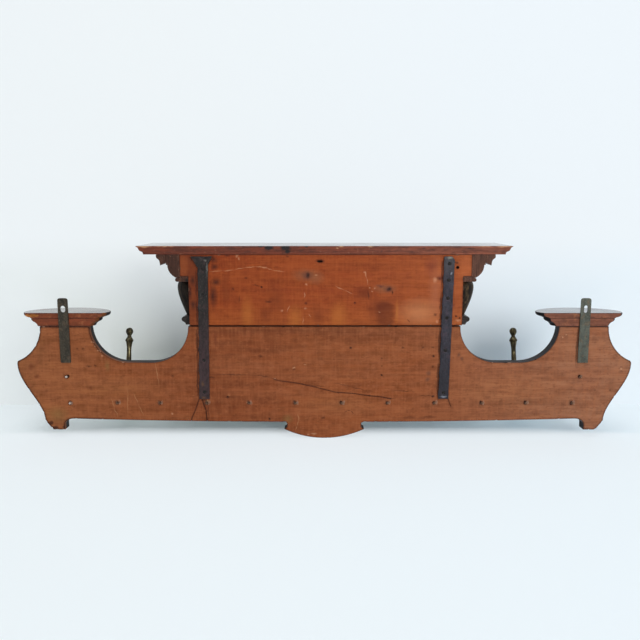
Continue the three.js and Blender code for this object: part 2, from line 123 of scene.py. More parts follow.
class Finish:
    """One surface in the making: its patterns read object coordinates in millimetres"""

    def __init__(self, name, base, **plain):
        self.material = bpy.data.materials.new(name)
        self.material.use_nodes = True
        self.tree = self.material.node_tree
        self.add = functools.partial(add_node, self.tree)
        self.shader = self.tree.nodes["Principled BSDF"]
        for short, value in plain.items():
            self.shader.inputs[PLAIN[short]].default_value = value
        place = self.add("TexCoord")["Object"]
        self.mm = self.add("VectorMath", {0: place, "Scale": 1 / MM}, operation="SCALE")[0]
        self.axes = self.add("SeparateXYZ", {0: self.mm})
        self.colour = linear(base)
        self.ragged = self.mm

    def roughen_marks(self, size=8, reach=3.0):
        """Marks made after this have ragged edges, which stray by up to half of reach in millimetres"""
        noise = self.add("TexNoise", {"Vector": self.mm, "Scale": 1 / size})["Color"]
        centred = self.add("VectorMath", {0: noise, 1: (0.5, 0.5, 0.5)}, operation="SUBTRACT")[0]
        self.ragged = self.add("VectorMath", {
            0: centred, 1: (2 * reach, 2 * reach, 2 * reach), 2: self.mm,
        }, operation="MULTIPLY_ADD")[0]

    def cloud(self, size, low, high, detail=4, shift=0):
        """Cloudy pattern from 0 to 1, whose patches are about size millimetres across along X, Y and Z"""
        scaled = self.add("Mapping", {
            "Vector": self.mm, "Location": (shift, shift, shift), "Scale": tuple(1 / s for s in size),
        })[0]
        noise = self.add("TexNoise", {"Vector": scaled, "Scale": 1.0, "Detail": detail})
        return self.add("MapRange", {"Value": noise["Fac"], "From Min": low, "From Max": high})[0]

    def across(self, axis, start, end):
        """Grows from 0 to 1 between two places along an axis, in millimetres"""
        return self.add("MapRange", {"Value": self.axes[axis], "From Min": start, "From Max": end})[0]

    def rim(self, reach):
        """1 along the piece's own edges and round its holes, fading out within a reach in millimetres"""
        inside = self.add("AmbientOcclusion", {"Distance": reach * MM},
                          inside=True, only_local=True, samples=RIM["samples"])["AO"]
        return self.add("MapRange", {"Value": inside, "From Min": RIM["none"], "From Max": RIM["full"]})[0]

    def marks(self, places, soft=0.8):
        """Oval marks on a board, each as its centre X and Z, width, height and, if turned, its degrees"""
        nearest = None
        for x, z, wide, tall, *turn in places:
            # the distance from the mark's centre is 1 at its edge
            if turn:
                run = Vector((math.cos(math.radians(turn[0])), 0, math.sin(math.radians(turn[0])))) * 2 / wide
                rise = Vector((-run.z, 0, run.x)) * wide / tall
                place = self.add("CombineXYZ", {
                    side: self.add("VectorMath", {0: self.ragged, 1: axis},
                                   operation="DOT_PRODUCT")["Value"]
                    for side, axis in (("X", run), ("Z", rise))
                })[0]
                centre = (run.dot((x, 0, z)), 0, rise.dot((x, 0, z)))
            else:
                size = (2 / wide, 0, 2 / tall)
                place = self.add("VectorMath", {0: self.ragged, 1: size}, operation="MULTIPLY")[0]
                centre = (x * size[0], 0, z * size[2])
            far = self.add("VectorMath", {0: place, 1: centre}, operation="DISTANCE")["Value"]
            if nearest:
                far = self.add("Math", {0: nearest, 1: far}, operation="MINIMUM")[0]
            nearest = far
        return self.add("MapRange", {"Value": nearest, "From Min": 1.0, "From Max": 1.0 - soft})[0]

    def tint(self, mask, hex_colour, strength=1.0, within=None):
        """Lays a colour over what is there, where the mask is 1, and the mask within too if there is one"""
        share = self.add("Math", {0: mask, 1: strength}, operation="MULTIPLY")[0]
        if within:
            share = self.add("Math", {0: share, 1: within}, operation="MULTIPLY")[0]
        self.colour = self.add("Mix", {
            AMOUNT: share, BELOW: self.colour, OVER: linear(hex_colour),
        }, data_type="RGBA")[MIXED]

    def stain(self, places, hex_colour, strength, soft=0.8):
        """Oval marks in a colour"""
        self.tint(self.marks(places, soft), hex_colour, strength)

    def blotch(self, size, low, high, hex_colour, strength, within=None, **pattern):
        """A cloudy pattern in a colour"""
        self.tint(self.cloud(size, low, high, **pattern), hex_colour, strength, within)

    def roughness(self, mask, low, high):
        """Roughness that runs from low to high with the mask"""
        value = self.add("MapRange", {"Value": mask, "To Min": low, "To Max": high})[0]
        self.tree.links.new(value, self.shader.inputs["Roughness"])

    def relief(self, *layers):
        """Bump from masks, each with its height in millimetres; a negative height cuts in"""
        normal = None
        for mask, height in layers:
            inputs = {"Height": mask, "Distance": abs(height) * MM}
            if normal:
                inputs["Normal"] = normal
            normal = self.add("Bump", inputs, invert=height < 0)[0]
        self.tree.links.new(normal, self.shader.inputs["Normal"])

    def done(self):
        self.tree.links.new(self.colour, self.shader.inputs["Base Color"])
        return self.material


# How much longer each mark of a stroke is than its share of it, so that they run into each other
OVERLAP = 1.25


def strokes(*bent_lines):
    """Marks along bent lines, each given as its width and points, in the form that Finish.marks takes"""
    pieces = []
    for wide, *points in bent_lines:
        for (x0, z0), (x1, z1) in zip(points, points[1:]):
            run = Vector((x1 - x0, z1 - z0))
            turn = math.degrees(math.atan2(run.y, run.x))
            pieces.append(((x0 + x1) / 2, (z0 + z1) / 2, run.length * OVERLAP, wide, turn))
    return pieces


def grain(s, pale, dark, speckle):
    """Blotches and a streaky grain along the board; gives back the fibre and the marks of the plane"""
    s.blotch((320, 60, 26), 0.36, 0.62, pale, 0.3)
    s.blotch((180, 40, 14), 0.42, 0.66, dark, 0.3, shift=3)
    # blotches of 15 to 25 mm where the wood took up dirt and oil
    s.blotch((24, 20, 17), 0.46, 0.66, dark, speckle, shift=9)
    s.blotch((17, 20, 12), 0.48, 0.68, pale, speckle, shift=5)
    # fibres are under 1 mm wide, drawn 3 mm wide so that they show
    fibre = s.cloud((40, 9, 3), 0.4, 0.64, detail=3)
    s.tint(fibre, dark, 0.2)
    s.blotch((8, 6, 4), 0.56, 0.68, dark, speckle, shift=2)
    s.blotch((7, 6, 4), 0.58, 0.7, pale, speckle, shift=11)
    # chatter of the plane across the grain, every 5 mm or so
    chatter = s.cloud((4.5, 20, 50), 0.45, 0.65, detail=2)
    s.tint(chatter, pale, 0.18)
    return fibre, chatter


def main_pine():
    """The main board, bare and matt, browned and dirty, paler towards both ends and greyer at the left one,
    where a sheen of reflected light is painted in with the wood's tone
    """
    s = Finish("sawn_pine_browned", "#874422", rough=0.66, shine=0.15)
    s.roughen_marks()
    s.tint(s.across("X", 230, 420), "#92512b", 0.7)
    s.tint(s.across("X", 430, 560), "#a05f38", 0.75)
    # lighter and greyer towards the left end: the wood's own tone and a painted sheen of reflected light
    s.tint(s.across("X", 130, 0), "#954f29", 0.9)
    s.tint(s.across("X", -180, -520), "#9f6c50", 0.85)
    s.stain([(275, -95, 120, 130), (556, -75, 110, 80), (250, -200, 120, 90)], "#6f3217", 0.4, soft=1)
    s.stain([(0, -42, 600, 40)], "#58260f", 0.66, soft=1)
    s.stain([(-150, -58, 460, 56)], "#5f2f1c", 0.4, soft=1)
    s.stain([(628, -125, 60, 150), (560, -250, 90, 40), (600, -92, 60, 110)], "#5e3a22", 0.45, soft=1)
    s.stain([(560, -40, 120, 46), (-556, -45, 120, 40)], "#7d3f26", 0.45, soft=1)
    s.stain([(440, -170, 240, 60), (-400, -180, 300, 90), (-30, -205, 220, 60)], "#b07446", 0.3, soft=1)
    s.stain([(-560, -150, 90, 110), (-330, -120, 60, 60)], "#7c4632", 0.4, soft=1)
    fibre, chatter = grain(s, "#ac6640", "#522410", 0.27)
    # old oil and grime: beside the foot, above the hem, on the pendant
    s.stain([(572, -228, 60, 46), (78, -238, 30, 22), (460, -122, 14, 30)], "#8a6a3c", 0.5, soft=1)
    s.stain(strokes((9, (-165, -234), (-200, -235), (-242, -234))), "#4e2012", 0.6, soft=0.9)
    s.stain([(610, -145, 14, 12), (621, -124, 14, 20), (499, -170, 9, 11), (229, -66, 8, 46)], "#5c2414", 0.6,
            soft=1)
    s.stain([(-221, -138, 15, 13), (-220, -151, 14, 13), (-285, -98, 11, 11), (-292, -106, 9, 11)], "#43302c",
            0.55)
    # the faint ends of the long shake, and shorter ones beside it
    shake = s.marks(strokes(
        (2.6, (238, -140), (147, -142), (114, -147), (98, -152)), (2, (56, -160), (41, -162), (-3, -168)),
        (2, (-23, -159), (-56, -167), (-86, -175)), (2.6, (-146, -175), (-189, -178)),
        (2, (-191, -187), (-238, -188)), (2.6, (-122, -189), (-150, -194)),
        (2.2, (-44, -223), (-50, -219), (-57, -220), (-63, -227)), (4, (232, -147), (250, -147))
    ))
    s.tint(shake, "#32150c", 0.75)
    # the shadow that a longer strap left down to the hem
    s.stain(strokes((4, (248.5, -192), (247.5, -248))) + [(255, -196, 20, 6)], "#2f1a14", 0.6, soft=0.8)
    s.stain([(250, -199, 8, 8)], "#b98a62", 0.6, soft=0.7)
    # painted shadow along one side of the ironwork, the side away from the window
    beside = strokes((6.4, (-243, -36), (-242.3, -110), (-241.5, -194)), (6, (-534.8, -30), (-532.6, -116)),
                     (5, (267.4, -38), (268.4, -110), (269.4, -188)))
    s.stain(beside, "#26110b", 0.65, soft=0.5)
    # where the screws came through: painted shade round each point and a painted highlight beside it, on the
    # side towards the window
    points = [centre_of(node).x / MM for node in nodes_with("_hook_")]
    row = HOOK_ROW / MM
    s.stain([(x + 2, row + 1, 11, 15) for x in points if x < CLEAN_FROM], "#43352e", 0.7, soft=1)
    s.stain([(x - 5, row + 1, 6, 13) for x in points if x < CLEAN_FROM], "#b0917a", 0.6, soft=1)
    # pale scratches, and bruises that went through to clean wood
    scratch = strokes(
        (2.4, (455, -190), (450, -214), (442, -233)), (2, (419, -173), (421, -231)),
        (2.2, (406, -181), (398, -205), (386, -233)), (2.6, (358, -114), (352, -163)),
        (3, (57, -228), (55, -242), (58, -254), (62, -263))
    )
    s.stain(scratch + [(166, -203, 4, 5), (204, -186, 10, 2.4)], "#bd8a60", 0.45)
    bruises = [(65, -126, 8, 5), (41, -119, 7, 3), (106, -150, 6, 3), (23, -271, 16, 5), (34, -273, 8, 4),
               (325, -227, 6, 6), (478, -88, 6, 5), (490, -70, 7, 6), (484, -80, 5, 5), (470, -100, 6, 5),
               (-510, -54, 5, 4), (-502, -60, 4, 4), (-630, -128, 6, 5)]
    s.stain(bruises, "#cf9a74", 0.6, soft=0.9)
    dots = [(522, -85, 8, 7), (510, -85, 9, 6), (499, -122, 16, 6), (485, -122, 8, 5), (135, -100, 11, 9),
            (64, -130, 9, 3), (206, -190, 12, 6), (117, -238, 8, 8), (2, -236, 10, 7), (-56, -83, 8, 6),
            (-122, -105, 6, 5), (-122, -122, 6, 5), (-122, -142, 8, 5), (-166, -82, 8, 5), (-209, -82, 6, 6),
            (-230, -82, 8, 6), (-231, -101, 9, 8), (-230, -123, 7, 6), (-232, -188, 9, 5), (-96, -187, 8, 5),
            (-577, -175, 6, 5), (-610, -175, 6, 5), (322, -144, 9, 8)]
    s.stain(dots, "#2a110b", 0.6)
    # the worn foot is black where its corners are gone
    s.stain([(587, -247, 12, 11), (578, -257, 19, 9), (557, -256, 14, 9)], "#2a110b", 0.75, soft=0.5)
    # dirt and stain from the front crept a few millimetres over every edge
    s.tint(s.rim(2.6), "#3a1a10", 0.7)
    s.tint(s.rim(6), "#2c1410", 0.75, within=s.across("X", 440, 480))
    s.tint(s.rim(5), "#3a1c18", 0.6, within=s.across("X", -470, -520))
    s.roughness(fibre, 0.6, 0.75)
    s.relief((fibre, -0.15), (chatter, 0.1), (shake, -0.4))
    return s.done()


def upper_pine():
    """The upper board, which kept the orange of its first varnish on this side, streaked and stained"""
    s = Finish("planed_pine_orange", "#923f1b", rough=0.6, shine=0.15)
    s.roughen_marks()
    s.tint(s.across("X", 70, 250), "#82300f", 0.75)
    s.tint(s.across("X", -60, -290), "#aa5830", 0.8)
    s.tint(s.across("Z", 18, -36), "#b0662f", 0.3)
    fibre, chatter = grain(s, "#b45a28", "#5c210c", 0.2)
    s.tint(s.across("X", 236, 262), "#5e2c18", 0.6)
    # upright bands, clean and dirty, as if things had leaned there
    s.stain([(100, 20, 60, 90), (123, -14, 30, 46), (14, -12, 38, 56), (205, 40, 26, 90)], "#6a2c14", 0.5,
            soft=1)
    s.stain([(161, -10, 34, 84), (61, -20, 36, 70), (-30, -14, 44, 76), (-152, -4, 10, 60)], "#c0702f", 0.36,
            soft=0.8)
    s.stain([(-200, -8, 112, 74)], "#c88256", 0.5, soft=0.8)
    s.stain([(-108, -6, 60, 70), (-84, 32, 50, 40)], "#5c2310", 0.5, soft=1)
    s.stain([(-127, 2, 46, 40), (-129, -12, 48, 44), (-129, -25, 46, 30)], "#4a1a0d", 0.54, soft=0.5)
    s.stain([(-232, 40, 36, 160)], "#b46c4c", 0.45, soft=1)
    # the ears stood clear of the ironwork and kept their colour
    s.stain([(-293, 90, 26, 60)], "#b05c32", 0.5, soft=0.5)
    s.stain([(292, 90, 24, 60)], "#8a4422", 0.7, soft=0.5)
    # black stains that the iron drew out of the wood, near the strap with the fishtail
    stains = [(230, 104, 22, 20), (228, 88, 20, 15), (226, 56, 28, 22), (232, 28, 20, 70), (201, 111, 16, 7),
              (274, 60, 14, 28), (274, 8, 16, 26), (280, 36, 10, 40), (275, 105, 10, 18), (-276, 97, 9, 7),
              (-239, 64, 13, 9)]
    s.stain(stains, "#1f1210", 0.8, soft=1)
    s.stain([(-222, 88, 34, 46), (-242, 66, 18, 14), (-64, 13, 9, 9), (-270, 8, 8, 10)], "#6a2a22", 0.55,
            soft=1)
    # painted shadow along one side of both straps, the side away from the window
    beside = strokes((6.4, (-245.3, 108), (-244.2, 40), (-243.1, -34)),
                     (5, (266.4, 84), (266.6, 24), (267.2, -34)))
    s.stain(beside, "#2a110a", 0.65, soft=0.5)
    # knots, each in a halo of greyer wood
    s.stain([(36, 71, 76, 32), (20, 66, 50, 34), (-126, 43, 60, 26)], "#8a5638", 0.75, soft=1)
    s.stain([(36, 70, 30, 24), (-134, 42, 24, 18), (-117, 48, 24, 8, 10)], "#4e2a28", 0.8, soft=1)
    knot = s.marks([(34, 70, 9, 17), (-135, 41, 13, 10), (-141, 34, 5, 12), (9, 100, 24, 9)], 0.9)
    s.tint(knot, "#1c0f0c", 0.9)
    dots = [(163, 65, 8, 6), (190, 42, 7, 10), (131, 46, 7, 6), (117, 15, 18, 7), (38, 12, 7, 8),
            (-92, 30, 5, 28), (-276, -16, 7, 5), (-284, -19, 4, 4), (-233, -12, 10, 8), (-243, -22, 6, 8),
            (77, 110, 9, 6)]
    s.stain(dots + strokes((3.4, (152, 51), (131, 46)), (2.4, (178, 30), (178, 11)),
                           (3.4, (-173, -22), (-181, -29))), "#32150c", 0.65)
    # one long scratch in an arc, and shorter ones
    arc = strokes((2, (238, 78), (211, 80), (187, 82), (166, 87)), (3, (166, 87), (142, 89), (126, 88)),
                  (4, (132, 89), (118, 86)), (2.4, (118, 86), (108, 82), (82, 78)))
    short = strokes((3, (41, 36), (41, 23)), (3, (72, 8), (79, -6)), (2.4, (33, -10), (28, -18)),
                    (1.8, (44, -16), (44, -33)), (3, (-84, 79), (-88, 66), (-91, 52)),
                    (2.2, (-22, 49), (-43, 39), (-58, 32))) + [(17, 71, 9, 4), (39, 1, 9, 5)]
    scratch = s.marks(arc + short)
    s.tint(scratch, "#cf946c", 0.5)
    bruises = [(180, 111, 7, 9), (177, 105, 5, 7), (37, 52, 6, 6), (89, -4, 7, 7), (-84, 77, 6, 6),
               (-95, 45, 4, 4), (-106, 43, 4, 4), (-100, 37, 5, 4), (-116, -7, 4, 3), (-230, 61, 10, 14),
               (-237, -27, 8, 11), (-281, -24, 14, 7)]
    s.stain(bruises, "#d69c76", 0.45)
    s.tint(s.rim(2.8), "#451a0e", 0.65)
    s.roughness(fibre, 0.54, 0.7)
    s.relief((fibre, -0.12), (chatter, 0.08), (knot, -0.3), (scratch, -0.2))
    return s.done()


def fretted_edge():
    """Fret-sawn edge of the boards, stained black-brown like the front: dull, with saw marks across it"""
    s = Finish("blackened_pine_edge", "#1c1a1c", rough=0.55, shine=0.15)
    saw = s.cloud((3, 40, 3), 0.4, 0.65, detail=2)
    s.tint(saw, "#171416", 0.6)
    s.blotch((30, 12, 30), 0.5, 0.72, "#3a2a25", 0.5)
    # the stain stops short of the back in the right bay, where bare wood shows
    s.tint(s.across("Y", -13, -10), "#7a4626", 0.9, within=s.across("X", 380, 420))
    s.blotch((6, 5, 6), 0.64, 0.74, "#8f5f42", 0.5)
    s.relief((saw, 0.15))
    return s.done()


def walnut(name, base, dark, pale, ring=(160, 4, 4), **plain):
    """Walnut, stained and rubbed with shellac: the pores stay open as short dark lines"""
    s = Finish(name, base, **plain)
    s.blotch((220, 30, 30), 0.35, 0.65, dark, 0.7)
    s.blotch(ring, 0.45, 0.68, pale, 0.35)
    # pores are 0.3 mm wide, drawn 1 mm wide so that they show
    pores = s.cloud((14, 1, 1), 0.56, 0.66, detail=2)
    s.tint(pores, dark, 0.6)
    s.blotch((25, 25, 25), 0.6, 0.72, pale, 0.3, detail=3)
    s.relief((pores, -0.08))
    return s


def turned_walnut():
    """The same walnut on the lathe: its grain runs upright, with amber streaks where the stain wore thin,
    kept to the column towards the window as painted light
    """
    s = Finish("turned_walnut_stained", "#1a130f", rough=0.55, shine=0.12)
    # the amber streaks are kept to the column at -X, towards the window: wear and painted light
    worn_and_lit = s.across("X", 100, -100)
    s.blotch((5, 5, 50), 0.42, 0.62, "#3a2a1e", 0.7)
    s.blotch((7, 7, 30), 0.46, 0.62, "#58452e", 0.6, within=worn_and_lit, shift=5)
    s.blotch((5, 5, 12), 0.58, 0.68, "#7c6040", 0.45, within=worn_and_lit, shift=8)
    pores = s.cloud((1.4, 1.4, 14), 0.54, 0.66, detail=2)
    s.tint(pores, "#0f0b09", 0.7)
    s.relief((pores, -0.1))
    return s.done()


def walnut_end():
    """Sawn ends of the mouldings, bare and dusty, with the growth rings seen as upright bands"""
    s = Finish("sawn_walnut_end", "#46291d", rough=0.75, shine=0.25)
    s.tint(s.across("X", 100, -100), "#664233", 0.75)
    s.blotch((3.4, 8, 40), 0.4, 0.66, "#2c1812", 0.75)
    s.blotch((9, 10, 30), 0.52, 0.7, "#7a5240", 0.45, shift=4)
    # open pores are 0.3 mm wide, drawn 1.6 mm across
    pores = s.cloud((1.6, 4, 1.6), 0.58, 0.68, detail=1)
    s.tint(pores, "#170d0a", 0.75)
    s.blotch((4, 4, 4), 0.64, 0.72, "#8a6450", 0.5, shift=6)
    # painted shade under the frieze and the soffit
    s.stain([(335, 91, 18, 7), (286, 60, 11, 12)], "#120d0b", 0.9, soft=0.7)
    s.stain([(-341, 91, 14, 5)], "#1c1411", 0.6, soft=0.7)
    s.relief((pores, -0.15))
    return s.done()


def black_end():
    """Ends of the lowest mouldings, black with old grime that a little grey dust sits on"""
    s = Finish("grimy_walnut_end", "#261e1a", rough=0.6, shine=0.25)
    s.blotch((8, 8, 3), 0.45, 0.65, "#4c4039", 0.6)
    s.blotch((5, 5, 5), 0.56, 0.68, "#110d0c", 0.8, shift=3)
    s.relief((s.cloud((3, 3, 3), 0.4, 0.7), 0.15))
    return s.done()


def front_walnut():
    """Walnut facing of the front, scraped smooth and French polished, so it mirrors softly"""
    s = walnut("polished_walnut_facing", "#6a3f24", "#3c2114", "#8a5a34", (260, 4, 11),
               rough=0.32, coat=0.5, coat_rough=0.15)
    s.blotch((340, 30, 24), 0.45, 0.7, "#4a2a18", 0.5, shift=9)
    return s.done()


def shelf_top():
    """Shelf tops, French polished: a brown mirror-like film with a little dust, pale at a low angle"""
    s = Finish("polished_shelf_top", "#4a2b20", rough=0.24, coat=0.5, coat_rough=0.12)
    s.blotch((260, 16, 60), 0.4, 0.66, "#2c1812", 0.65)
    # figure of the wood, as long streaks 4 mm wide
    s.blotch((120, 4, 20), 0.42, 0.68, "#6a4230", 0.4, shift=4)
    dust = s.cloud((70, 50, 60), 0.42, 0.72, detail=6)
    s.tint(dust, "#8a8280", 0.16)
    s.stain([(-480, -9, 12, 30), (-496, -9, 8, 30)], "#4a3a36", 0.6)
    s.roughness(dust, 0.16, 0.3)
    return s.done()


def shelf_edge():
    """Back edge of the hat shelf: planed red-brown wood, rubbed and stained, with a few black marks"""
    s = Finish("rubbed_shelf_edge", "#77331b", rough=0.62, shine=0.3)
    s.roughen_marks()
    s.tint(s.across("X", 60, -330), "#8c4c34", 0.85)
    s.blotch((110, 12, 5), 0.4, 0.68, "#4a2216", 0.55)
    s.blotch((14, 12, 6), 0.5, 0.68, "#3c1d14", 0.5, shift=4)
    fibre = s.cloud((40, 5, 2.6), 0.42, 0.66)
    s.tint(fibre, "#3f1d13", 0.35)
    s.blotch((6, 5, 3), 0.62, 0.72, "#9c6850", 0.35, shift=7)
    s.stain([(300, 124, 60, 20), (190, 126, 60, 14), (150, 130, 90, 8)], "#3a2018", 0.6, soft=1)
    black = [(114, 128, 26, 11), (80, 127, 27, 16), (76, 120, 14, 12), (38, 130, 10, 5), (131, 130, 12, 4)]
    s.stain(black, "#0a0708", 0.95, soft=0.5)
    s.stain([(-118, 120, 8, 8), (-205, 127, 9, 7), (-300, 126, 30, 5), (-270, 129, 40, 4)], "#3c2320", 0.6)
    # the upper arris has lost its stain in places
    bared = [(375, 130, 40, 6), (330, 131, 50, 4), (-95, 131, 18, 5), (-35, 130, 12, 5), (-27, 127, 6, 4),
             (-372, 130, 36, 5), (-330, 131, 40, 4), (240, 131, 30, 3)]
    s.stain(bared, "#c69468", 0.75)
    s.roughness(fibre, 0.52, 0.72)
    s.relief((fibre, -0.12))
    return s.done()


def end_shelf_back():
    """Backs of the end shelves and their mouldings: sawn wood of the boards' colour, a little redder"""
    s = Finish("sawn_end_shelf_back", "#803c20", rough=0.66, shine=0.28)
    s.roughen_marks()
    s.tint(s.across("X", 400, -400), "#85503c", 0.9)
    s.blotch((90, 8, 5), 0.4, 0.66, "#56260f", 0.55)
    s.blotch((9, 8, 7), 0.52, 0.7, "#4a2a18", 0.5, shift=3)
    s.blotch((12, 8, 8), 0.56, 0.7, "#a5643c", 0.5, shift=8)
    fibre = s.cloud((40, 5, 2.4), 0.42, 0.66)
    s.tint(fibre, "#4e2412", 0.35)
    # painted shade along the top edge and under each arris, where the lower bands also darken the joints
    s.tint(s.across("Z", -11, -9), "#341a14", 0.55)
    under = [(546, -19, 180, 4), (546, -36, 150, 5), (-546, -19, 180, 3), (-546, -36, 150, 3)]
    s.stain(under, "#2a1612", 0.7, soft=0.9)
    s.relief((fibre, -0.12))
    return s.done()


def fresh_break(name, base, dark, pale):
    """Where a splinter came away: clean wood with a torn, stepped grain"""
    s = Finish(name, base, rough=0.8, shine=0.2)
    torn = s.cloud((16, 3, 1.6), 0.45, 0.6)
    s.tint(torn, dark, 0.7)
    s.blotch((5, 3, 2), 0.6, 0.7, pale, 0.6)
    s.relief((torn, 0.3))
    return s.done()


def old_break():
    """Insides of cracks, nail holes and burst wood: as torn as a fresh break but black with old dirt"""
    s = Finish("torn_pine_blackened", "#24130c", rough=0.85, shine=0.15)
    torn = s.cloud((2, 2, 6), 0.45, 0.62)
    s.tint(torn, "#0e0806", 0.8)
    s.blotch((3, 3, 5), 0.6, 0.7, "#5e3824", 0.6, shift=4)
    s.relief((torn, 0.3))
    return s.done()


def iron(name, base, dark, rust, pale):
    """Wrought iron under old oxide: part metal, part scale, with rusty blotches and pale flaked spots"""
    s = Finish(name, base, metal=0.3, shine=0.25)
    s.roughen_marks(5, 2.5)
    s.blotch((12, 12, 34), 0.4, 0.62, dark, 0.7)
    s.blotch((7, 9, 12), 0.52, 0.66, rust, 0.6, shift=5)
    # hammer scale comes off in flakes of 3 mm
    pits = s.cloud((3.2, 3.2, 3.6), 0.54, 0.66, detail=3)
    s.tint(pits, pale, 0.35)
    s.blotch((4, 4, 5), 0.58, 0.66, dark, 0.7, shift=8)
    s.roughness(pits, 0.42, 0.68)
    s.relief((pits, -0.15), (s.cloud((16, 16, 28), 0.3, 0.7, detail=1), 0.4))
    return s


def forged_iron():
    s = iron("forged_iron_strap", "#2c2725", "#181515", "#463231", "#5c554d")
    # pale marks along the strap's edge towards the window: worn metal with painted highlights
    s.stain([(243, 84, 5, 36), (241, 66, 3, 16), (246, 102, 8, 6)], "#8d867e", 0.5)
    s.tint(s.across("Z", 10, -110), "#4a3436", 0.55)
    s.blotch((6, 6, 9), 0.5, 0.62, "#1c1716", 0.5, shift=12)
    s.stain([(257, -190, 12, 8), (258, -160, 8, 14)], "#6b4a30", 0.6)
    return s.done()


def rolled_iron():
    s = iron("rolled_iron_strap", "#36323a", "#232026", "#48353c", "#55525a")
    s.tint(s.across("Z", -60, -150), "#262428", 0.6)
    s.tint(s.across("Z", 60, 100), "#4e4a4a", 0.5)
    s.blotch((6, 6, 9), 0.5, 0.62, "#242125", 0.5, shift=12)
    # painted highlights: on the bent top end, on one spot lower down and along the lower end
    s.stain([(-259, 107, 18, 7)], "#8d8878", 0.6)
    s.stain([(-263, 75, 5, 7), (-254, -188, 16, 6)], "#9a9aa4", 0.6)
    return s.done()


def cast_brass():
    """Cast brass that has gone dull and brown, with beige streaks painted on as highlights"""
    s = Finish("cast_brass_tarnished", "#4a4029", metal=0.7, shine=0.4)
    tarnish = s.cloud((7, 7, 12), 0.4, 0.58)
    s.tint(tarnish, "#201b11", 0.8)
    # painted highlights: beige streaks that run up the hooks
    s.blotch((3.4, 5, 16), 0.5, 0.7, "#958b66", 0.55, shift=6)
    grit = s.cloud((1.4, 1.4, 1.4), 0.4, 0.7, detail=2)
    s.roughness(tarnish, 0.3, 0.6)
    s.relief((grit, 0.06))
    return s.done()


def screw_steel(name, base, rust_colour):
    """Cut steel, rusted brown in the slots and duller than the day it was turned"""
    s = Finish(name, base, metal=0.75)
    rust = s.cloud((3, 3, 3), 0.42, 0.6)
    s.tint(rust, rust_colour, 0.75)
    s.roughness(rust, 0.38, 0.7)
    s.relief((rust, 0.1))
    return s.done()


# Corners closer than the first are one point, and faces within the second angle are one face
SAME_POINT = 0.005 * MM
SAME_PLANE = math.radians(0.4)
# Slivers that a cut leaves and corners that a turned shape doubles, in metres
SLIVER = 0.02 * MM
DOUBLED = 0.01 * MM
# Edges sharper than this are eased, and edges sharper than the second are not smoothed over
EASED_FROM = math.radians(30)
SHARP_FROM = math.radians(35)
# A face counts as facing a side, or as lying flat in it, from this cosine on
TOWARDS, FLAT = 0.7, 0.99
# How many facets go round each kind of round piece
ROUND = {"column": 48, "boss": 48, "hook": 32, "arm": 20, "screw": 24, "nail": 12}


def deselect():
    bpy.ops.object.select_all(action="DESELECT")


def focus(piece):
    deselect()
    piece.select_set(True)
    bpy.context.view_layer.objects.active = piece


def apply_modifier(piece, kind, **settings):
    """Adds a modifier with its settings and applies it"""
    focus(piece)
    modifier = piece.modifiers.new(kind.lower(), kind)
    for name, value in settings.items():
        setattr(modifier, name, value)
    bpy.ops.object.modifier_apply(modifier=modifier.name)


def apply_place(piece):
    focus(piece)
    bpy.ops.object.transform_apply(location=True, rotation=True, scale=True)


def ease(piece, width, segments=2):
    """Rounds the sharp edges by a width in millimetres"""
    apply_modifier(piece, "BEVEL", width=width * MM, segments=segments, limit_method="ANGLE",
                   angle_limit=EASED_FROM)


def whole_copy(node):
    """A piece of its own from a CAD node's mesh, its loose triangles merged into whole faces"""
    piece = new_object("aged_" + node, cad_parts[node].data.copy())
    piece.data.materials.clear()
    focus(piece)
    bpy.ops.object.mode_set(mode="EDIT")
    bpy.ops.mesh.select_all(action="SELECT")
    bpy.ops.mesh.customdata_custom_splitnormals_clear()
    bpy.ops.mesh.remove_doubles(threshold=SAME_POINT)
    bpy.ops.mesh.dissolve_limited(angle_limit=SAME_PLANE)
    bpy.ops.object.mode_set(mode="OBJECT")
    return piece


def finish_by_side(piece, sides, rest, *inside):
    """Gives each face the material of the side that it faces, or rest; inside ones wait for carved faces"""
    for surface, _ in sides:
        piece.data.materials.append(surface)
    for surface in (rest,) + inside:
        piece.data.materials.append(surface)
    for face in piece.data.polygons:
        face.material_index = len(sides)
        for i, (_, direction) in enumerate(sides):
            if face.normal.dot(Vector(direction)) > TOWARDS:
                face.material_index = i


def settle(piece, node):
    """Puts a finished piece on the rack in place of its CAD node, its large faces shaded flat"""
    focus(piece)
    bpy.ops.object.shade_smooth_by_angle(angle=SHARP_FROM)
    apply_modifier(piece, "WEIGHTED_NORMAL", keep_sharp=True)
    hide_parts(node)
    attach(piece, BODY)


def start_edit():
    bpy.ops.object.mode_set(mode="EDIT")
    bpy.ops.mesh.select_all(action="SELECT")


def end_edit():
    bpy.ops.mesh.select_all(action="SELECT")
    bpy.ops.mesh.remove_doubles(threshold=DOUBLED)
    bpy.ops.mesh.normals_make_consistent(inside=False)
    bpy.ops.object.mode_set(mode="OBJECT")


def drawn_bar(name, stations, sides):
    """A closed bar drawn out ring by ring along points in a plane X = 0; a station is a point and a radius"""
    points = [Vector(point) for point, _ in stations]
    radii = [radius for _, radius in stations]
    headings = []
    for i in range(len(points)):
        run = points[min(i + 1, len(points) - 1)] - points[max(i - 1, 0)]
        headings.append(math.atan2(run.z, run.y))
    deselect()
    bpy.ops.mesh.primitive_circle_add(vertices=sides, radius=radii[0], fill_type="NGON", location=points[0],
                                      rotation=(headings[0] - math.pi / 2, 0, 0))
    bar = bpy.context.object
    bar.name = name
    start_edit()
    for i in range(1, len(points)):
        bpy.ops.mesh.extrude_region_move(TRANSFORM_OT_translate={"value": points[i] - points[i - 1]})
        bpy.ops.transform.rotate(
            value=headings[i - 1] - headings[i], orient_axis="X", center_override=points[i]
        )
        bpy.ops.transform.resize(value=(radii[i] / radii[i - 1],) * 3, center_override=points[i])
    end_edit()
    apply_place(bar)
    return bar


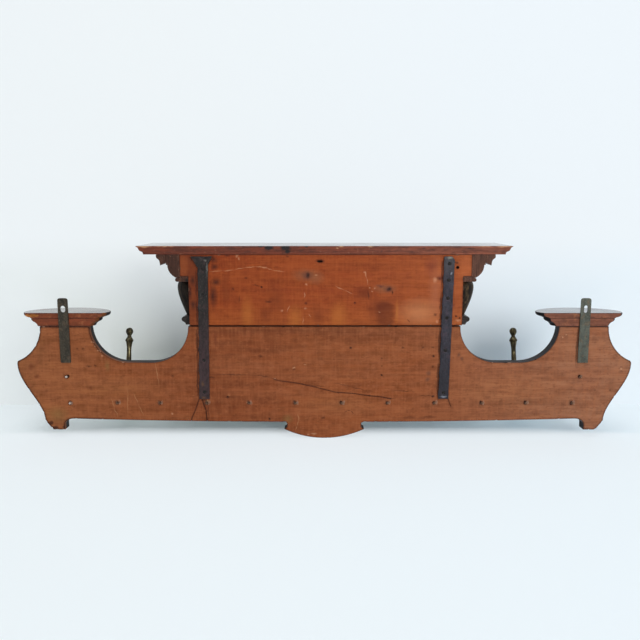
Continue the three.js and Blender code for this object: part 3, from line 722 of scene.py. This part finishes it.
def turned(name, profile, axis, steps, place):
    """A turning round the Y or Z axis, set down at its place, from radii and distances along the axis"""
    points = [(Vector((1, 0, 0)) * r + Vector(axis) * h) * MM for r, h in profile]
    deselect()
    bpy.ops.mesh.primitive_plane_add(size=MM)
    turning = bpy.context.object
    turning.name = name
    start_edit()
    bpy.ops.mesh.merge(type="CENTER")
    bpy.ops.transform.translate(value=points[0])
    for here, there in zip(points, points[1:]):
        bpy.ops.mesh.extrude_region_move(TRANSFORM_OT_translate={"value": there - here})
    bpy.ops.mesh.select_all(action="SELECT")
    bpy.ops.mesh.spin(steps=steps, angle=2 * math.pi, center=(0, 0, 0), axis=axis)
    end_edit()
    turning.location = place
    apply_place(turning)
    return turning


def placed_copy(piece, name, shift, turn=0.0):
    """A copy with its own mesh, turned about the Y axis through the origin and then moved"""
    copy = new_object(name, piece.data.copy())
    copy.rotation_euler.y = turn
    copy.location = shift
    apply_place(copy)
    return copy


def discard(piece):
    bpy.data.objects.remove(piece)


def carve(piece, cutter, lining=0, operation="DIFFERENCE"):
    """Cuts a piece with a tool, or joins the two, without slivers; the cut shows the material lining"""
    for face in cutter.data.polygons:
        face.material_index = lining
    apply_modifier(piece, "BOOLEAN", object=cutter, operation=operation, solver="EXACT")
    discard(cutter)
    start_edit()
    bpy.ops.mesh.remove_doubles(threshold=SLIVER)
    bpy.ops.mesh.dissolve_degenerate(threshold=SLIVER)
    bpy.ops.object.mode_set(mode="OBJECT")


def joined(pieces):
    deselect()
    for piece in pieces:
        piece.select_set(True)
    bpy.context.view_layer.objects.active = pieces[0]
    bpy.ops.object.join()
    return pieces[0]


def nodes_with(word):
    return [node for node in sorted(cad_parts) if word in node]


def centre_of(node):
    low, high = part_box(node)
    return (low + high) / 2


def gouge(x, z, wide, tall, deep, turn=0.0):
    """An oval tool for a hollow in the back of a board, its sizes in millimetres and its turn in radians"""
    deselect()
    bpy.ops.mesh.primitive_ico_sphere_add(subdivisions=2, radius=1, location=(x * MM, BACK, z * MM))
    tool = bpy.context.object
    tool.scale = (wide / 2 * MM, deep * MM, tall / 2 * MM)
    tool.rotation_euler.y = turn
    apply_place(tool)
    return tool


# All in millimetres. Cracks in the back of the main board: X, Z and half the width of the crack
LONG_SHAKE = [(108, -151, 0.1), (96, -154, 0.15), (60, -159, 0.25), (23, -167, 0.2), (-23, -179, 0.2),
              (-62, -182, 0.2), (-96, -187, 0.35), (-122, -189.5, 0.2), (-143, -194, 0.1)]
STRAP_CRACKS = [
    [(265.5, -190, 0.15), (271, -205, 0.3), (276, -219, 0.25), (283, -234, 0.3), (286, -247, 0.35)],
    [(262, -190, 0.2), (256.5, -209, 0.45), (253, -218, 0.35), (252, -232, 0.5), (251, -247, 0.7)],
    [(-262, -188, 0.1), (-266, -198, 0.15), (-271, -211, 0.1)]
]
# Chips along an outline: how many, how far apart, and from and to what width, height and depth
CHIP_COUNT = {"main_black": 30, "main_dull": 26, "upper": 14}
CHIP = {"apart": 12, "wide": (2.5, 8), "tall": (1.6, 3.2), "deep": (1, 2.2)}
# Chips out of the worn foot at the rack's right: X, Z, width, height and depth
FOOT_CHIPS = [(598, -245, 7, 10, 3), (594, -253, 6, 6, 3), (586, -259, 5, 6, 3), (574, -263, 13, 4, 3),
              (560, -262, 6, 4, 2), (553, -255, 4, 7, 2)]
# The blade that cuts a crack, and how much of it stands out of the board
CRACK_DEEP = 3.5
CRACK_PROUD = 0.2
# Nail holes, an old screw hole and the hole of a dead knot
MAIN_NAILS = [(-122, -142), (-231, -101), (-232, -188), (-56, -83), (206, -189), (117, -238)]
UPPER_NAILS = [(-270, 98), (-276, -15), (-284, -19), (-64, 13), (131, 46)]
NAIL = {"radius": 1.2, "deep": 5}
OLD_SCREW_HOLE = {"x": -276.5, "z": 87, "radius": 3}
KNOT_HOLE = {"x": 9, "z": 99.5, "wide": 12, "tall": 4.6, "deep": 5}
# Wood burst out round the screw points: a pale torn side and a dark hollow
TORN = {"aside": 3.4, "up": (-1, 2), "wide": (3.4, 5.4), "tall": (6, 9), "deep": 0.8}
DUG = {"aside": 1.2, "up": (0, 2), "wide": (3.4, 5), "tall": (6, 9), "deep": 1.8}
# How far they lean to either side, in radians
TILT = 0.25
# Past the first X the points came through clean, and up to the second one their hollows are black with dirt
CLEAN_FROM = 540
BLACK_UP_TO = -30


def crack_blade(crack, level):
    """A thin blade drawn along a crack in the board's back; level if the crack runs along the board"""
    thin = 2 if level else 0
    depth = BACK + (CRACK_PROUD - CRACK_DEEP / 2) * MM
    points = [Vector((x * MM, depth, z * MM)) for x, z, _ in crack]
    halves = [half for _, _, half in crack]
    deselect()
    bpy.ops.mesh.primitive_plane_add(size=1, location=points[0], rotation=(0, math.pi / 2 if level else 0, 0))
    blade = bpy.context.object
    start_edit()
    first = [1, CRACK_DEEP * MM, 1]
    first[thin] = 2 * halves[0] * MM
    bpy.ops.transform.resize(value=first, center_override=points[0])
    for i in range(1, len(points)):
        bpy.ops.mesh.extrude_region_move(TRANSFORM_OT_translate={"value": points[i] - points[i - 1]})
        widen = [1, 1, 1]
        widen[thin] = halves[i] / halves[i - 1]
        bpy.ops.transform.resize(value=widen, center_override=points[i])
    end_edit()
    return blade


def round_tool(x, z, radius):
    deselect()
    bpy.ops.mesh.primitive_cylinder_add(
        vertices=ROUND["nail"], radius=radius * MM, depth=2 * NAIL["deep"] * MM,
        location=(x * MM, BACK, z * MM), rotation=(math.pi / 2, 0, 0)
    )
    tool = bpy.context.object
    apply_place(tool)
    return tool


def arris_chips(piece, count, luck):
    """Small tools set along the outline of a board's back, where knocks took chips out of its edge"""
    mesh = piece.data
    sloping = {key for face in mesh.polygons if face.normal.y < FLAT for key in face.edge_keys}
    edges = []
    for face in mesh.polygons:
        if face.normal.y > FLAT:
            for a, b in sloping.intersection(face.edge_keys):
                run = mesh.vertices[b].co - mesh.vertices[a].co
                edges.append((mesh.vertices[a].co.copy(), run, run.length))
    edges.sort(key=lambda edge: tuple(edge[0]))
    chips = []
    taken = []
    while len(chips) < count:
        start, run, _ = luck.choices(edges, weights=[length for _, _, length in edges])[0]
        spot = start + run * luck.random()
        if any((spot - other).length < CHIP["apart"] * MM for other in taken):
            continue
        taken.append(spot)
        turn = -math.atan2(run.z, run.x)
        size = [luck.uniform(*CHIP[way]) for way in ("wide", "tall", "deep")]
        chips.append(gouge(spot.x / MM, spot.z / MM, *size, turn))
    return joined(chips)


def make_main_board():
    """The main board with eased arrises: cracked, nailed, chipped, and burst round the hooks' screw points"""
    board = whole_copy("main_board")
    ease(board, 0.7)
    apply_modifier(board, "TRIANGULATE")
    finish_by_side(board, [(main_pine(), REAR)], black_edge, torn_black, torn_dull)
    black, dull = 2, 3
    luck = random.Random(SEED)
    carve(board, arris_chips(board, CHIP_COUNT["main_black"], luck), black)
    carve(board, arris_chips(board, CHIP_COUNT["main_dull"], luck), dull)
    carve(board, joined([gouge(*chip) for chip in FOOT_CHIPS]), dull)
    for crack in STRAP_CRACKS:
        carve(board, crack_blade(crack, False), black)
    carve(board, crack_blade(LONG_SHAKE, True), black)
    carve(board, joined([round_tool(x, z, NAIL["radius"]) for x, z in MAIN_NAILS]), black)
    torn, dug, shallow = [], [], []
    for node in nodes_with("_hook_") + nodes_with("rosette_screw"):
        x = centre_of(node).x / MM
        z = HOOK_ROW / MM if "_hook_" in node else centre_of(node).z / MM
        turn = luck.uniform(-TILT, TILT)
        size = luck.uniform(*TORN["wide"]), luck.uniform(*TORN["tall"])
        torn.append(gouge(x - TORN["aside"], z + luck.uniform(*TORN["up"]), *size, TORN["deep"], turn))
        size = luck.uniform(*DUG["wide"]), luck.uniform(*DUG["tall"])
        if x < CLEAN_FROM:
            hollows = dug if x < BLACK_UP_TO else shallow
            hollows.append(gouge(x + DUG["aside"], z + luck.uniform(*DUG["up"]), *size, DUG["deep"], turn))
    for tools, inside in ((torn, dull), (dug, black), (shallow, dull)):
        carve(board, joined(tools), inside)
    settle(board, "main_board")


def make_upper_board():
    """The upper board with its old holes and the hole of a dead knot"""
    board = whole_copy("upper_board")
    ease(board, 0.8)
    apply_modifier(board, "TRIANGULATE")
    finish_by_side(board, [], upper_pine(), torn_black, torn_dull)
    black, dull = 1, 2
    carve(board, arris_chips(board, CHIP_COUNT["upper"], random.Random(SEED + 1)), dull)
    tools = [round_tool(x, z, NAIL["radius"]) for x, z in UPPER_NAILS]
    tools.append(round_tool(*OLD_SCREW_HOLE.values()))
    tools.append(gouge(*KNOT_HOLE.values()))
    carve(board, joined(tools), black)
    settle(board, "upper_board")


# Splinters torn off the back corner of an end shelf: X, Z, length, height, depth and turn in radians
SPLINTERS = {"end_shelf_right": (614, -14, 34, 6.4, 6, 0.02)}


def make_plain(nodes, width, sides, rest, segments=2):
    """Pieces that keep their CAD outline, with eased arrises and a surface for each side"""
    for node in nodes:
        piece = whole_copy(node)
        ease(piece, width, segments)
        finish_by_side(piece, sides, rest)
        if node in SPLINTERS:
            piece.data.materials.append(torn_fresh)
            carve(piece, gouge(*SPLINTERS[node]), len(sides) + 1)
        settle(piece, node)


# Half-vase column: radius, and height in millimetres up from its foot
COLUMN_PROFILE = [
    (0, 0), (10.4, 0), (11, 0.6), (12.2, 4), (14.6, 9.5), (17.6, 17), (21, 26), (24.3, 36), (26.9, 46),
    (28.2, 54), (28.5, 59), (28.2, 63.5), (27, 68), (24.8, 72), (21.8, 74.6), (21, 75.1), (0, 75.1)
]


def make_columns():
    surface = turned_walnut()
    for node in ("column_right", "column_left"):
        middle = centre_of(node)
        foot = Vector((middle.x, middle.y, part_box(node)[0].z))
        column = turned("turned_" + node, COLUMN_PROFILE, UP, ROUND["column"], foot)
        column.data.materials.append(surface)
        settle(column, node)


# How far the top of each strap was hammered out, and the height in metres that it starts at
SPREAD = {"strap_right": 1.14, "strap_left": 1.02}
SPREAD_FROM = 104 * MM
# The hammer's marks and the mesh that takes them, in millimetres; the marks' way, depth and unmoved level
HAMMER = {"apart": 16, "mesh": 0.8, "marks": (("NORMAL", 1.1, 0.6), ("X", 2.4, 0.5))}


def spread_top(strap, wider):
    """Widens the top of a strap about its middle"""
    top = [vertex for vertex in strap.data.vertices if vertex.co.z > SPREAD_FROM]
    middle = sum(vertex.co.x for vertex in top) / len(top)
    for vertex in top:
        vertex.co.x = middle + (vertex.co.x - middle) * wider


def make_straps():
    """Straps forged from bar: remeshed, so that their edges can waver as under the hammer"""
    hammer = bpy.data.textures.new("hammer_marks", "CLOUDS")
    hammer.noise_scale = HAMMER["apart"] * MM
    for node, surface in (("strap_right", forged_iron()), ("strap_left", rolled_iron())):
        strap = whole_copy(node)
        spread_top(strap, SPREAD[node])
        ease(strap, 0.5)
        apply_modifier(strap, "REMESH", mode="VOXEL", voxel_size=HAMMER["mesh"] * MM)
        for way, depth, level in HAMMER["marks"]:
            apply_modifier(strap, "DISPLACE", texture=hammer, texture_coords="GLOBAL", direction=way,
                           strength=depth * MM, mid_level=level)
        strap.data.materials.clear()
        strap.data.materials.append(surface)
        settle(strap, node)


# Countersunk screw: radius, and depth below the face of the iron as a negative height, in millimetres
SCREW_PROFILE = [
    (0, 0), (3.2, -0.05), (3.8, -0.25), (3.9, -0.6), (1.7, -1.9), (1.7, -15), (0.5, -18.4), (0, -18.4)
]
SLOT = {"long": 10, "wide": 1, "deep": 1}


def make_screws():
    pattern = turned("screw_pattern", SCREW_PROFILE, REAR, ROUND["screw"], (0, 0, 0))
    deselect()
    bpy.ops.mesh.primitive_cube_add(size=1)
    slot = bpy.context.object
    slot.scale = (SLOT["long"] * MM, 2 * SLOT["deep"] * MM, SLOT["wide"] * MM)
    carve(pattern, slot)
    pattern.data.materials.append(steel)
    luck = random.Random(SEED)
    # the plates' screws took on the colour of their plate
    plates = {"hanger_right": hanger_speckled, "hanger_left": hanger_green}
    for node in nodes_with("_screw_"):
        if node.startswith("rosette"):
            continue
        middle = centre_of(node)
        head = Vector((middle.x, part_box(node)[1].y, middle.z))
        screw = placed_copy(pattern, "slotted_" + node, head, luck.uniform(0, math.pi))
        screw.data.materials[0] = plates.get(node.split("_screw_")[0], steel)
        settle(screw, node)
    discard(pattern)


# Hook parts, in millimetres: out from the board, up from the screw, and radius
TALL_ARM = [
    (2, 0, 6.2), (8, -1.6, 6.1), (16, -2.2, 6), (26, -0.8, 5.9), (36, 3.2, 5.8), (45, 9.2, 5.8),
    (53, 17.3, 5.8), (60, 27.5, 5.8), (65.4, 39, 5.8), (69.6, 51, 5.8), (73.6, 64, 5.7), (77, 77, 5.4),
    (79.6, 87, 5.1), (81.6, 94.6, 5), (83.2, 101, 5.3), (84.4, 105.6, 6.1), (85.3, 109.2, 6.8),
    (86, 111.9, 7.2), (86.4, 113.2, 8.3), (86.8, 114.6, 9), (87.1, 115.8, 8.9), (87.6, 118.2, 7.9),
    (88.2, 120.6, 6.3), (88.9, 123.2, 4.8), (89.4, 125.2, 4.2), (89.8, 127, 4.6), (90.3, 129.2, 6),
    (90.8, 131.4, 7.2), (91.4, 134, 7.9), (92, 136.6, 8), (92.7, 139.2, 7.2), (93.3, 141.4, 5.6),
    (93.7, 142.9, 3.2), (93.8, 143.3, 1)
]
LOW_ARM = [
    (2, -2, 5.4), (8, -7.4, 5.2), (15, -13, 5.1), (23, -18.6, 5), (32, -23.6, 4.8), (42, -26.7, 4.7),
    (51, -26.2, 4.6), (58, -21.8, 4.5), (62.6, -15.4, 4.3), (64.8, -9, 4.1), (65.5, -5.2, 4.3),
    (65.8, -3, 5.3), (66, -1, 6.3), (66.2, 1.2, 6.6), (66.4, 3.4, 6), (66.5, 5.3, 4.4), (66.6, 6.6, 2.4),
    (66.6, 7, 0.9)
]
SHORT_ARM = [
    (2, 0, 6.2), (8, -2.4, 5.8), (15, -5.6, 5.5), (23, -8.8, 5.3), (31, -10.6, 5.1), (39, -9, 5),
    (45.6, -3.8, 4.9), (50, 3.6, 4.8), (52.4, 11, 4.6), (53.6, 18, 4.4), (54.1, 21.6, 4.6), (54.4, 24.4, 5.8),
    (54.6, 27, 6.9), (54.8, 29.6, 7.2), (54.9, 32.2, 6.5), (55, 34.6, 4.8), (55, 36.2, 2.8), (55, 36.8, 1)
]
ROSE_PROFILE = [(0, 9), (5, 9), (6.6, 8.4), (7.4, 7), (8, 5.6), (9.4, 4.6), (11, 3.6), (11.8, 2.4), (12, 1.2),
                (12, 0)]
# The screw points are worn blunt, and the two at the rack's right end are near-white steel that paints a
# glint on them
PIN = {"radius": 2.5, "taper": 5.8, "point": 2.1}
GLINT_PAINTED = ("coat_hook_01", "rosette_screw_right")


def with_pin(profile, start):
    """Adds the screw's shank and point to a turned profile that starts at this Y in metres"""
    length = (SCREW_POINT - start) / MM
    pin = [(PIN["radius"], 0), (PIN["radius"], PIN["taper"] - length), (PIN["point"], -length), (0, -length)]
    return [(r, -h) for r, h in profile + pin]


def bare_point(piece, node):
    """The end of the screw that shows at the back is steel: brown with rust on most, near white on two to
    paint a glint on them
    """
    piece.data.materials.clear()
    piece.data.materials.append(brass)
    piece.data.materials.append(glint_painted_steel if node in GLINT_PAINTED else point_steel)
    for face in piece.data.polygons:
        face.material_index = int(face.center.y > BACK - PIN["taper"] * MM)


def hook_pattern(name, arms):
    """A cast hook at X = 0"""
    base = FACE - HOOK_GAP
    hook = turned(name, with_pin(ROSE_PROFILE, base), REAR, ROUND["hook"], (0, base, HOOK_ROW))
    for arm in arms:
        stations = [((0, FACE - out * MM, HOOK_ROW + up * MM), r * MM) for out, up, r in arm]
        carve(hook, drawn_bar(name + "_arm", stations, ROUND["arm"]), operation="UNION")
    return hook


def make_hooks():
    tall = hook_pattern("hat_hook_pattern", [TALL_ARM, LOW_ARM])
    short = hook_pattern("coat_hook_pattern", [SHORT_ARM])
    for node in nodes_with("_hook_"):
        pattern = tall if node.startswith("hat") else short
        hook = placed_copy(pattern, "cast_" + node, (centre_of(node).x, 0, 0))
        bare_point(hook, node)
        settle(hook, node)
    discard(tall)
    discard(short)


# Turned boss and its round-head screw: radius, and distance out from the board in millimetres
BOSS_PROFILE = [(2.9, 0), (26, 0), (26, 2.4), (25.4, 3.4), (24, 4.6), (22.6, 5.4), (21, 5.6), (19.4, 5.2),
                (18.4, 4.8), (17.4, 5.2), (16.2, 6.6), (15.4, 8.6), (14.6, 10.2), (13, 11.3), (11, 11.9),
                (9, 12), (8, 11.4), (2.9, 11.4), (2.9, 0)]
HEAD_PROFILE = [(0, 3.4), (1.6, 3.3), (3.2, 2.7), (4.4, 1.7), (5, 0.6), (5, 0)]


def make_rosettes():
    for side in ("right", "left"):
        node = "rosette_" + side
        middle = centre_of(node)
        boss = turned("turned_" + node, [(r, -h) for r, h in BOSS_PROFILE], REAR, ROUND["boss"],
                      (middle.x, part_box(node)[1].y, middle.z))
        boss.data.materials.append(facing_walnut)
        settle(boss, node)
        node = "rosette_screw_" + side
        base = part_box(node)[0].y + HEAD_PROFILE[0][1] * MM
        screw = turned("turned_" + node, with_pin(HEAD_PROFILE, base), REAR, ROUND["hook"],
                       (middle.x, base, middle.z))
        bare_point(screw, node)
        settle(screw, node)


# Papers of the studio, in metres: where the wall stands and how large both are
WALL_Y = -0.26
PAPER_SIZE = 8
PAPER_WHITE = "#f0f6fa"
# Share of its own light in what is seen of the paper: the axis, its two places in millimetres, and the shares
GLOW = {"wall": ("Z", -140, 140, 0.06, 0.85), "floor": ("Y", -80, -28, 0.02, 0.74)}
# Past the rack's ends both papers have this share as well, from and to a distance from the middle
SIDE_GLOW = (440, 720, 0.6)
# The papers' colours at their lower and higher X, the bluer and the warmer one, which paint in light of a
# bluer and a warmer colour, and where the change ends
PAPER_SHADE = {"wall": ("#e6f1f8", "#eff2ec"), "floor": ("#e2f1f8", "#e6f0f2"), "reach": 400}


def studio_paper(name, part, see_through_back):
    """Matt white paper that takes the rack's shadow; its back can be looked through from behind the wall"""
    left, right = PAPER_SHADE[part]
    s = Finish(name, left, rough=0.9, shine=0.0)
    s.tint(s.across("X", -PAPER_SHADE["reach"], PAPER_SHADE["reach"]), right)
    axis, start, end, low, high = GLOW[part]
    along = s.add("MapRange", {
        "Value": s.axes[axis], "From Min": start, "From Max": end, "To Min": low, "To Max": high,
    })[0]
    far = s.add("Math", {0: s.axes["X"]}, operation="ABSOLUTE")[0]
    start, end, high = SIDE_GLOW
    beside = s.add("MapRange", {"Value": far, "From Min": start, "From Max": end, "To Max": high})[0]
    share = s.add("Math", {0: along, 1: beside}, operation="MAXIMUM")[0]
    glow = s.add("Math", {0: seen_rays(s.tree), 1: share}, operation="MULTIPLY")[0]
    white = s.add("Emission", {"Color": linear(PAPER_WHITE)})[0]
    surface = s.add("MixShader", {0: glow, 1: s.shader.outputs[0], 2: white})[0]
    if see_through_back:
        behind = s.add("NewGeometry")["Backfacing"]
        clear = s.add("BsdfTransparent")[0]
        surface = s.add("MixShader", {0: behind, 1: surface, 2: clear})[0]
    s.tree.links.new(surface, s.tree.nodes["Material Output"].inputs["Surface"])
    return s.done()


def seen_rays(tree):
    """1 for rays from the camera and for what metal and glass show, 0 for light on the rack"""
    rays = add_node(tree, "LightPath")
    seen = add_node(tree, "Math", {0: rays["Is Camera Ray"], 1: rays["Is Transmission Ray"]},
                    operation="MAXIMUM")[0]
    return add_node(tree, "Math", {0: seen, 1: rays["Is Glossy Ray"]}, operation="MAXIMUM")[0]


def make_stage():
    deselect()
    bpy.ops.mesh.primitive_plane_add(size=PAPER_SIZE, location=(0, 0, FLOOR))
    floor = bpy.context.object
    floor.name = "studio_floor"
    floor.data.materials.append(studio_paper("white_paper_floor", "floor", False))
    deselect()
    bpy.ops.mesh.primitive_plane_add(size=PAPER_SIZE, location=(0, WALL_Y, FLOOR + PAPER_SIZE / 2),
                                     rotation=(-math.pi / 2, 0, 0))
    wall = bpy.context.object
    wall.name = "studio_wall"
    apply_place(wall)
    wall.data.materials.append(studio_paper("white_paper_wall", "wall", True))


# Lamps: place, point aimed at and side in metres, power in watts
LAMPS = {"window": {"place": (-2.6, 4.6, 1.7), "target": (0, -0.05, -0.05), "side": 2.7, "power": 142},
         "ceiling": {"place": (0, 1.2, 3.0), "target": (0, -0.1, -0.1), "side": 2.4, "power": 52}}
DAYLIGHT = {"colour": "#dfeefa", "strength": 0.25}


def make_lights():
    for name, lamp in LAMPS.items():
        data = bpy.data.lights.new(name, "AREA")
        data.size = lamp["side"]
        data.energy = lamp["power"]
        light = new_object(name, data)
        light.location = lamp["place"]
        aim = Vector(lamp["target"]) - Vector(lamp["place"])
        light.rotation_euler = aim.to_track_quat("-Z", "Y").to_euler()
    world = bpy.data.worlds.new("daylight")
    bpy.context.scene.world = world
    world.use_nodes = True
    tree = world.node_tree
    daylight = tree.nodes["Background"]
    daylight.inputs["Color"].default_value = linear(DAYLIGHT["colour"])
    daylight.inputs["Strength"].default_value = DAYLIGHT["strength"]
    white = add_node(tree, "Background", {"Color": linear(PAPER_WHITE)})[0]
    mixed = add_node(tree, "MixShader", {0: seen_rays(tree), 1: daylight.outputs[0], 2: white})[0]
    tree.links.new(mixed, tree.nodes["World Output"].inputs["Surface"])
    bpy.context.scene.view_settings.view_transform = "Standard"


black_edge = fretted_edge()
# the mouldings shine less than the facings of the front
moulding_walnut = walnut("stained_walnut_moulding", "#2e1d17", "#150e0c", "#523528", rough=0.42, shine=0.35,
                         coat=0.15, coat_rough=0.25).done()
facing_walnut = front_walnut()
polished_top = shelf_top()
torn_fresh = fresh_break("torn_pine_fresh", "#cc8a4c", "#955c2c", "#e8bd86")
torn_dull = fresh_break("torn_pine_dusty", "#99705a", "#6c452e", "#c0a48e")
torn_black = old_break()
# the plate at the rack's right is speckled, and the other greenish
hanger_speckled = iron("cut_iron_hanger_speckled", "#423a2f", "#26221c", "#5a4838", "#6e6858").done()
hanger_green = iron("cut_iron_hanger_green", "#55564c", "#393a33", "#66503a", "#77796c").done()
brass = cast_brass()
steel = screw_steel("steel_screw_rusted", "#2c2826", "#17100e")
point_steel = screw_steel("steel_screw_point", "#6e5442", "#4a3022")
# near-white steel, which paints a glint on the two screw points at the rack's right end
glint_painted_steel = screw_steel("steel_screw_glint_painted", "#e6e0da", "#b09c8e")

make_camera()
make_stage()
make_lights()
make_main_board()
make_upper_board()
make_plain(("main_facing", "upper_facing"), 0.3, [(facing_walnut, FRONT)], black_edge)
# the mouldings are bare where they were sawn off flush with the back
mouldings = ("frieze_right", "frieze_left", "frieze_front", "bed_moulding_right", "bed_moulding_left",
             "bed_moulding_front", "soffit")
make_plain(mouldings, 0.4, [(walnut_end(), REAR)], moulding_walnut)
make_plain(("ledge",), 0.4, [(black_end(), REAR)], moulding_walnut)
make_columns()
make_plain(("hat_shelf",), 0.7, [(shelf_edge(), REAR), (polished_top, UP)], moulding_walnut)
end_shelves = ("end_shelf_right", "end_bed_moulding_right", "end_shelf_left", "end_bed_moulding_left")
make_plain(end_shelves, 0.5, [(end_shelf_back(), REAR), (polished_top, UP)], black_edge)
make_straps()
# the hanger plates were cut from sheet, and their edges and slots filed round
make_plain(("hanger_right",), 0.7, [], hanger_speckled, 3)
make_plain(("hanger_left",), 0.7, [], hanger_green, 3)
make_screws()
make_hooks()
make_rosettes()
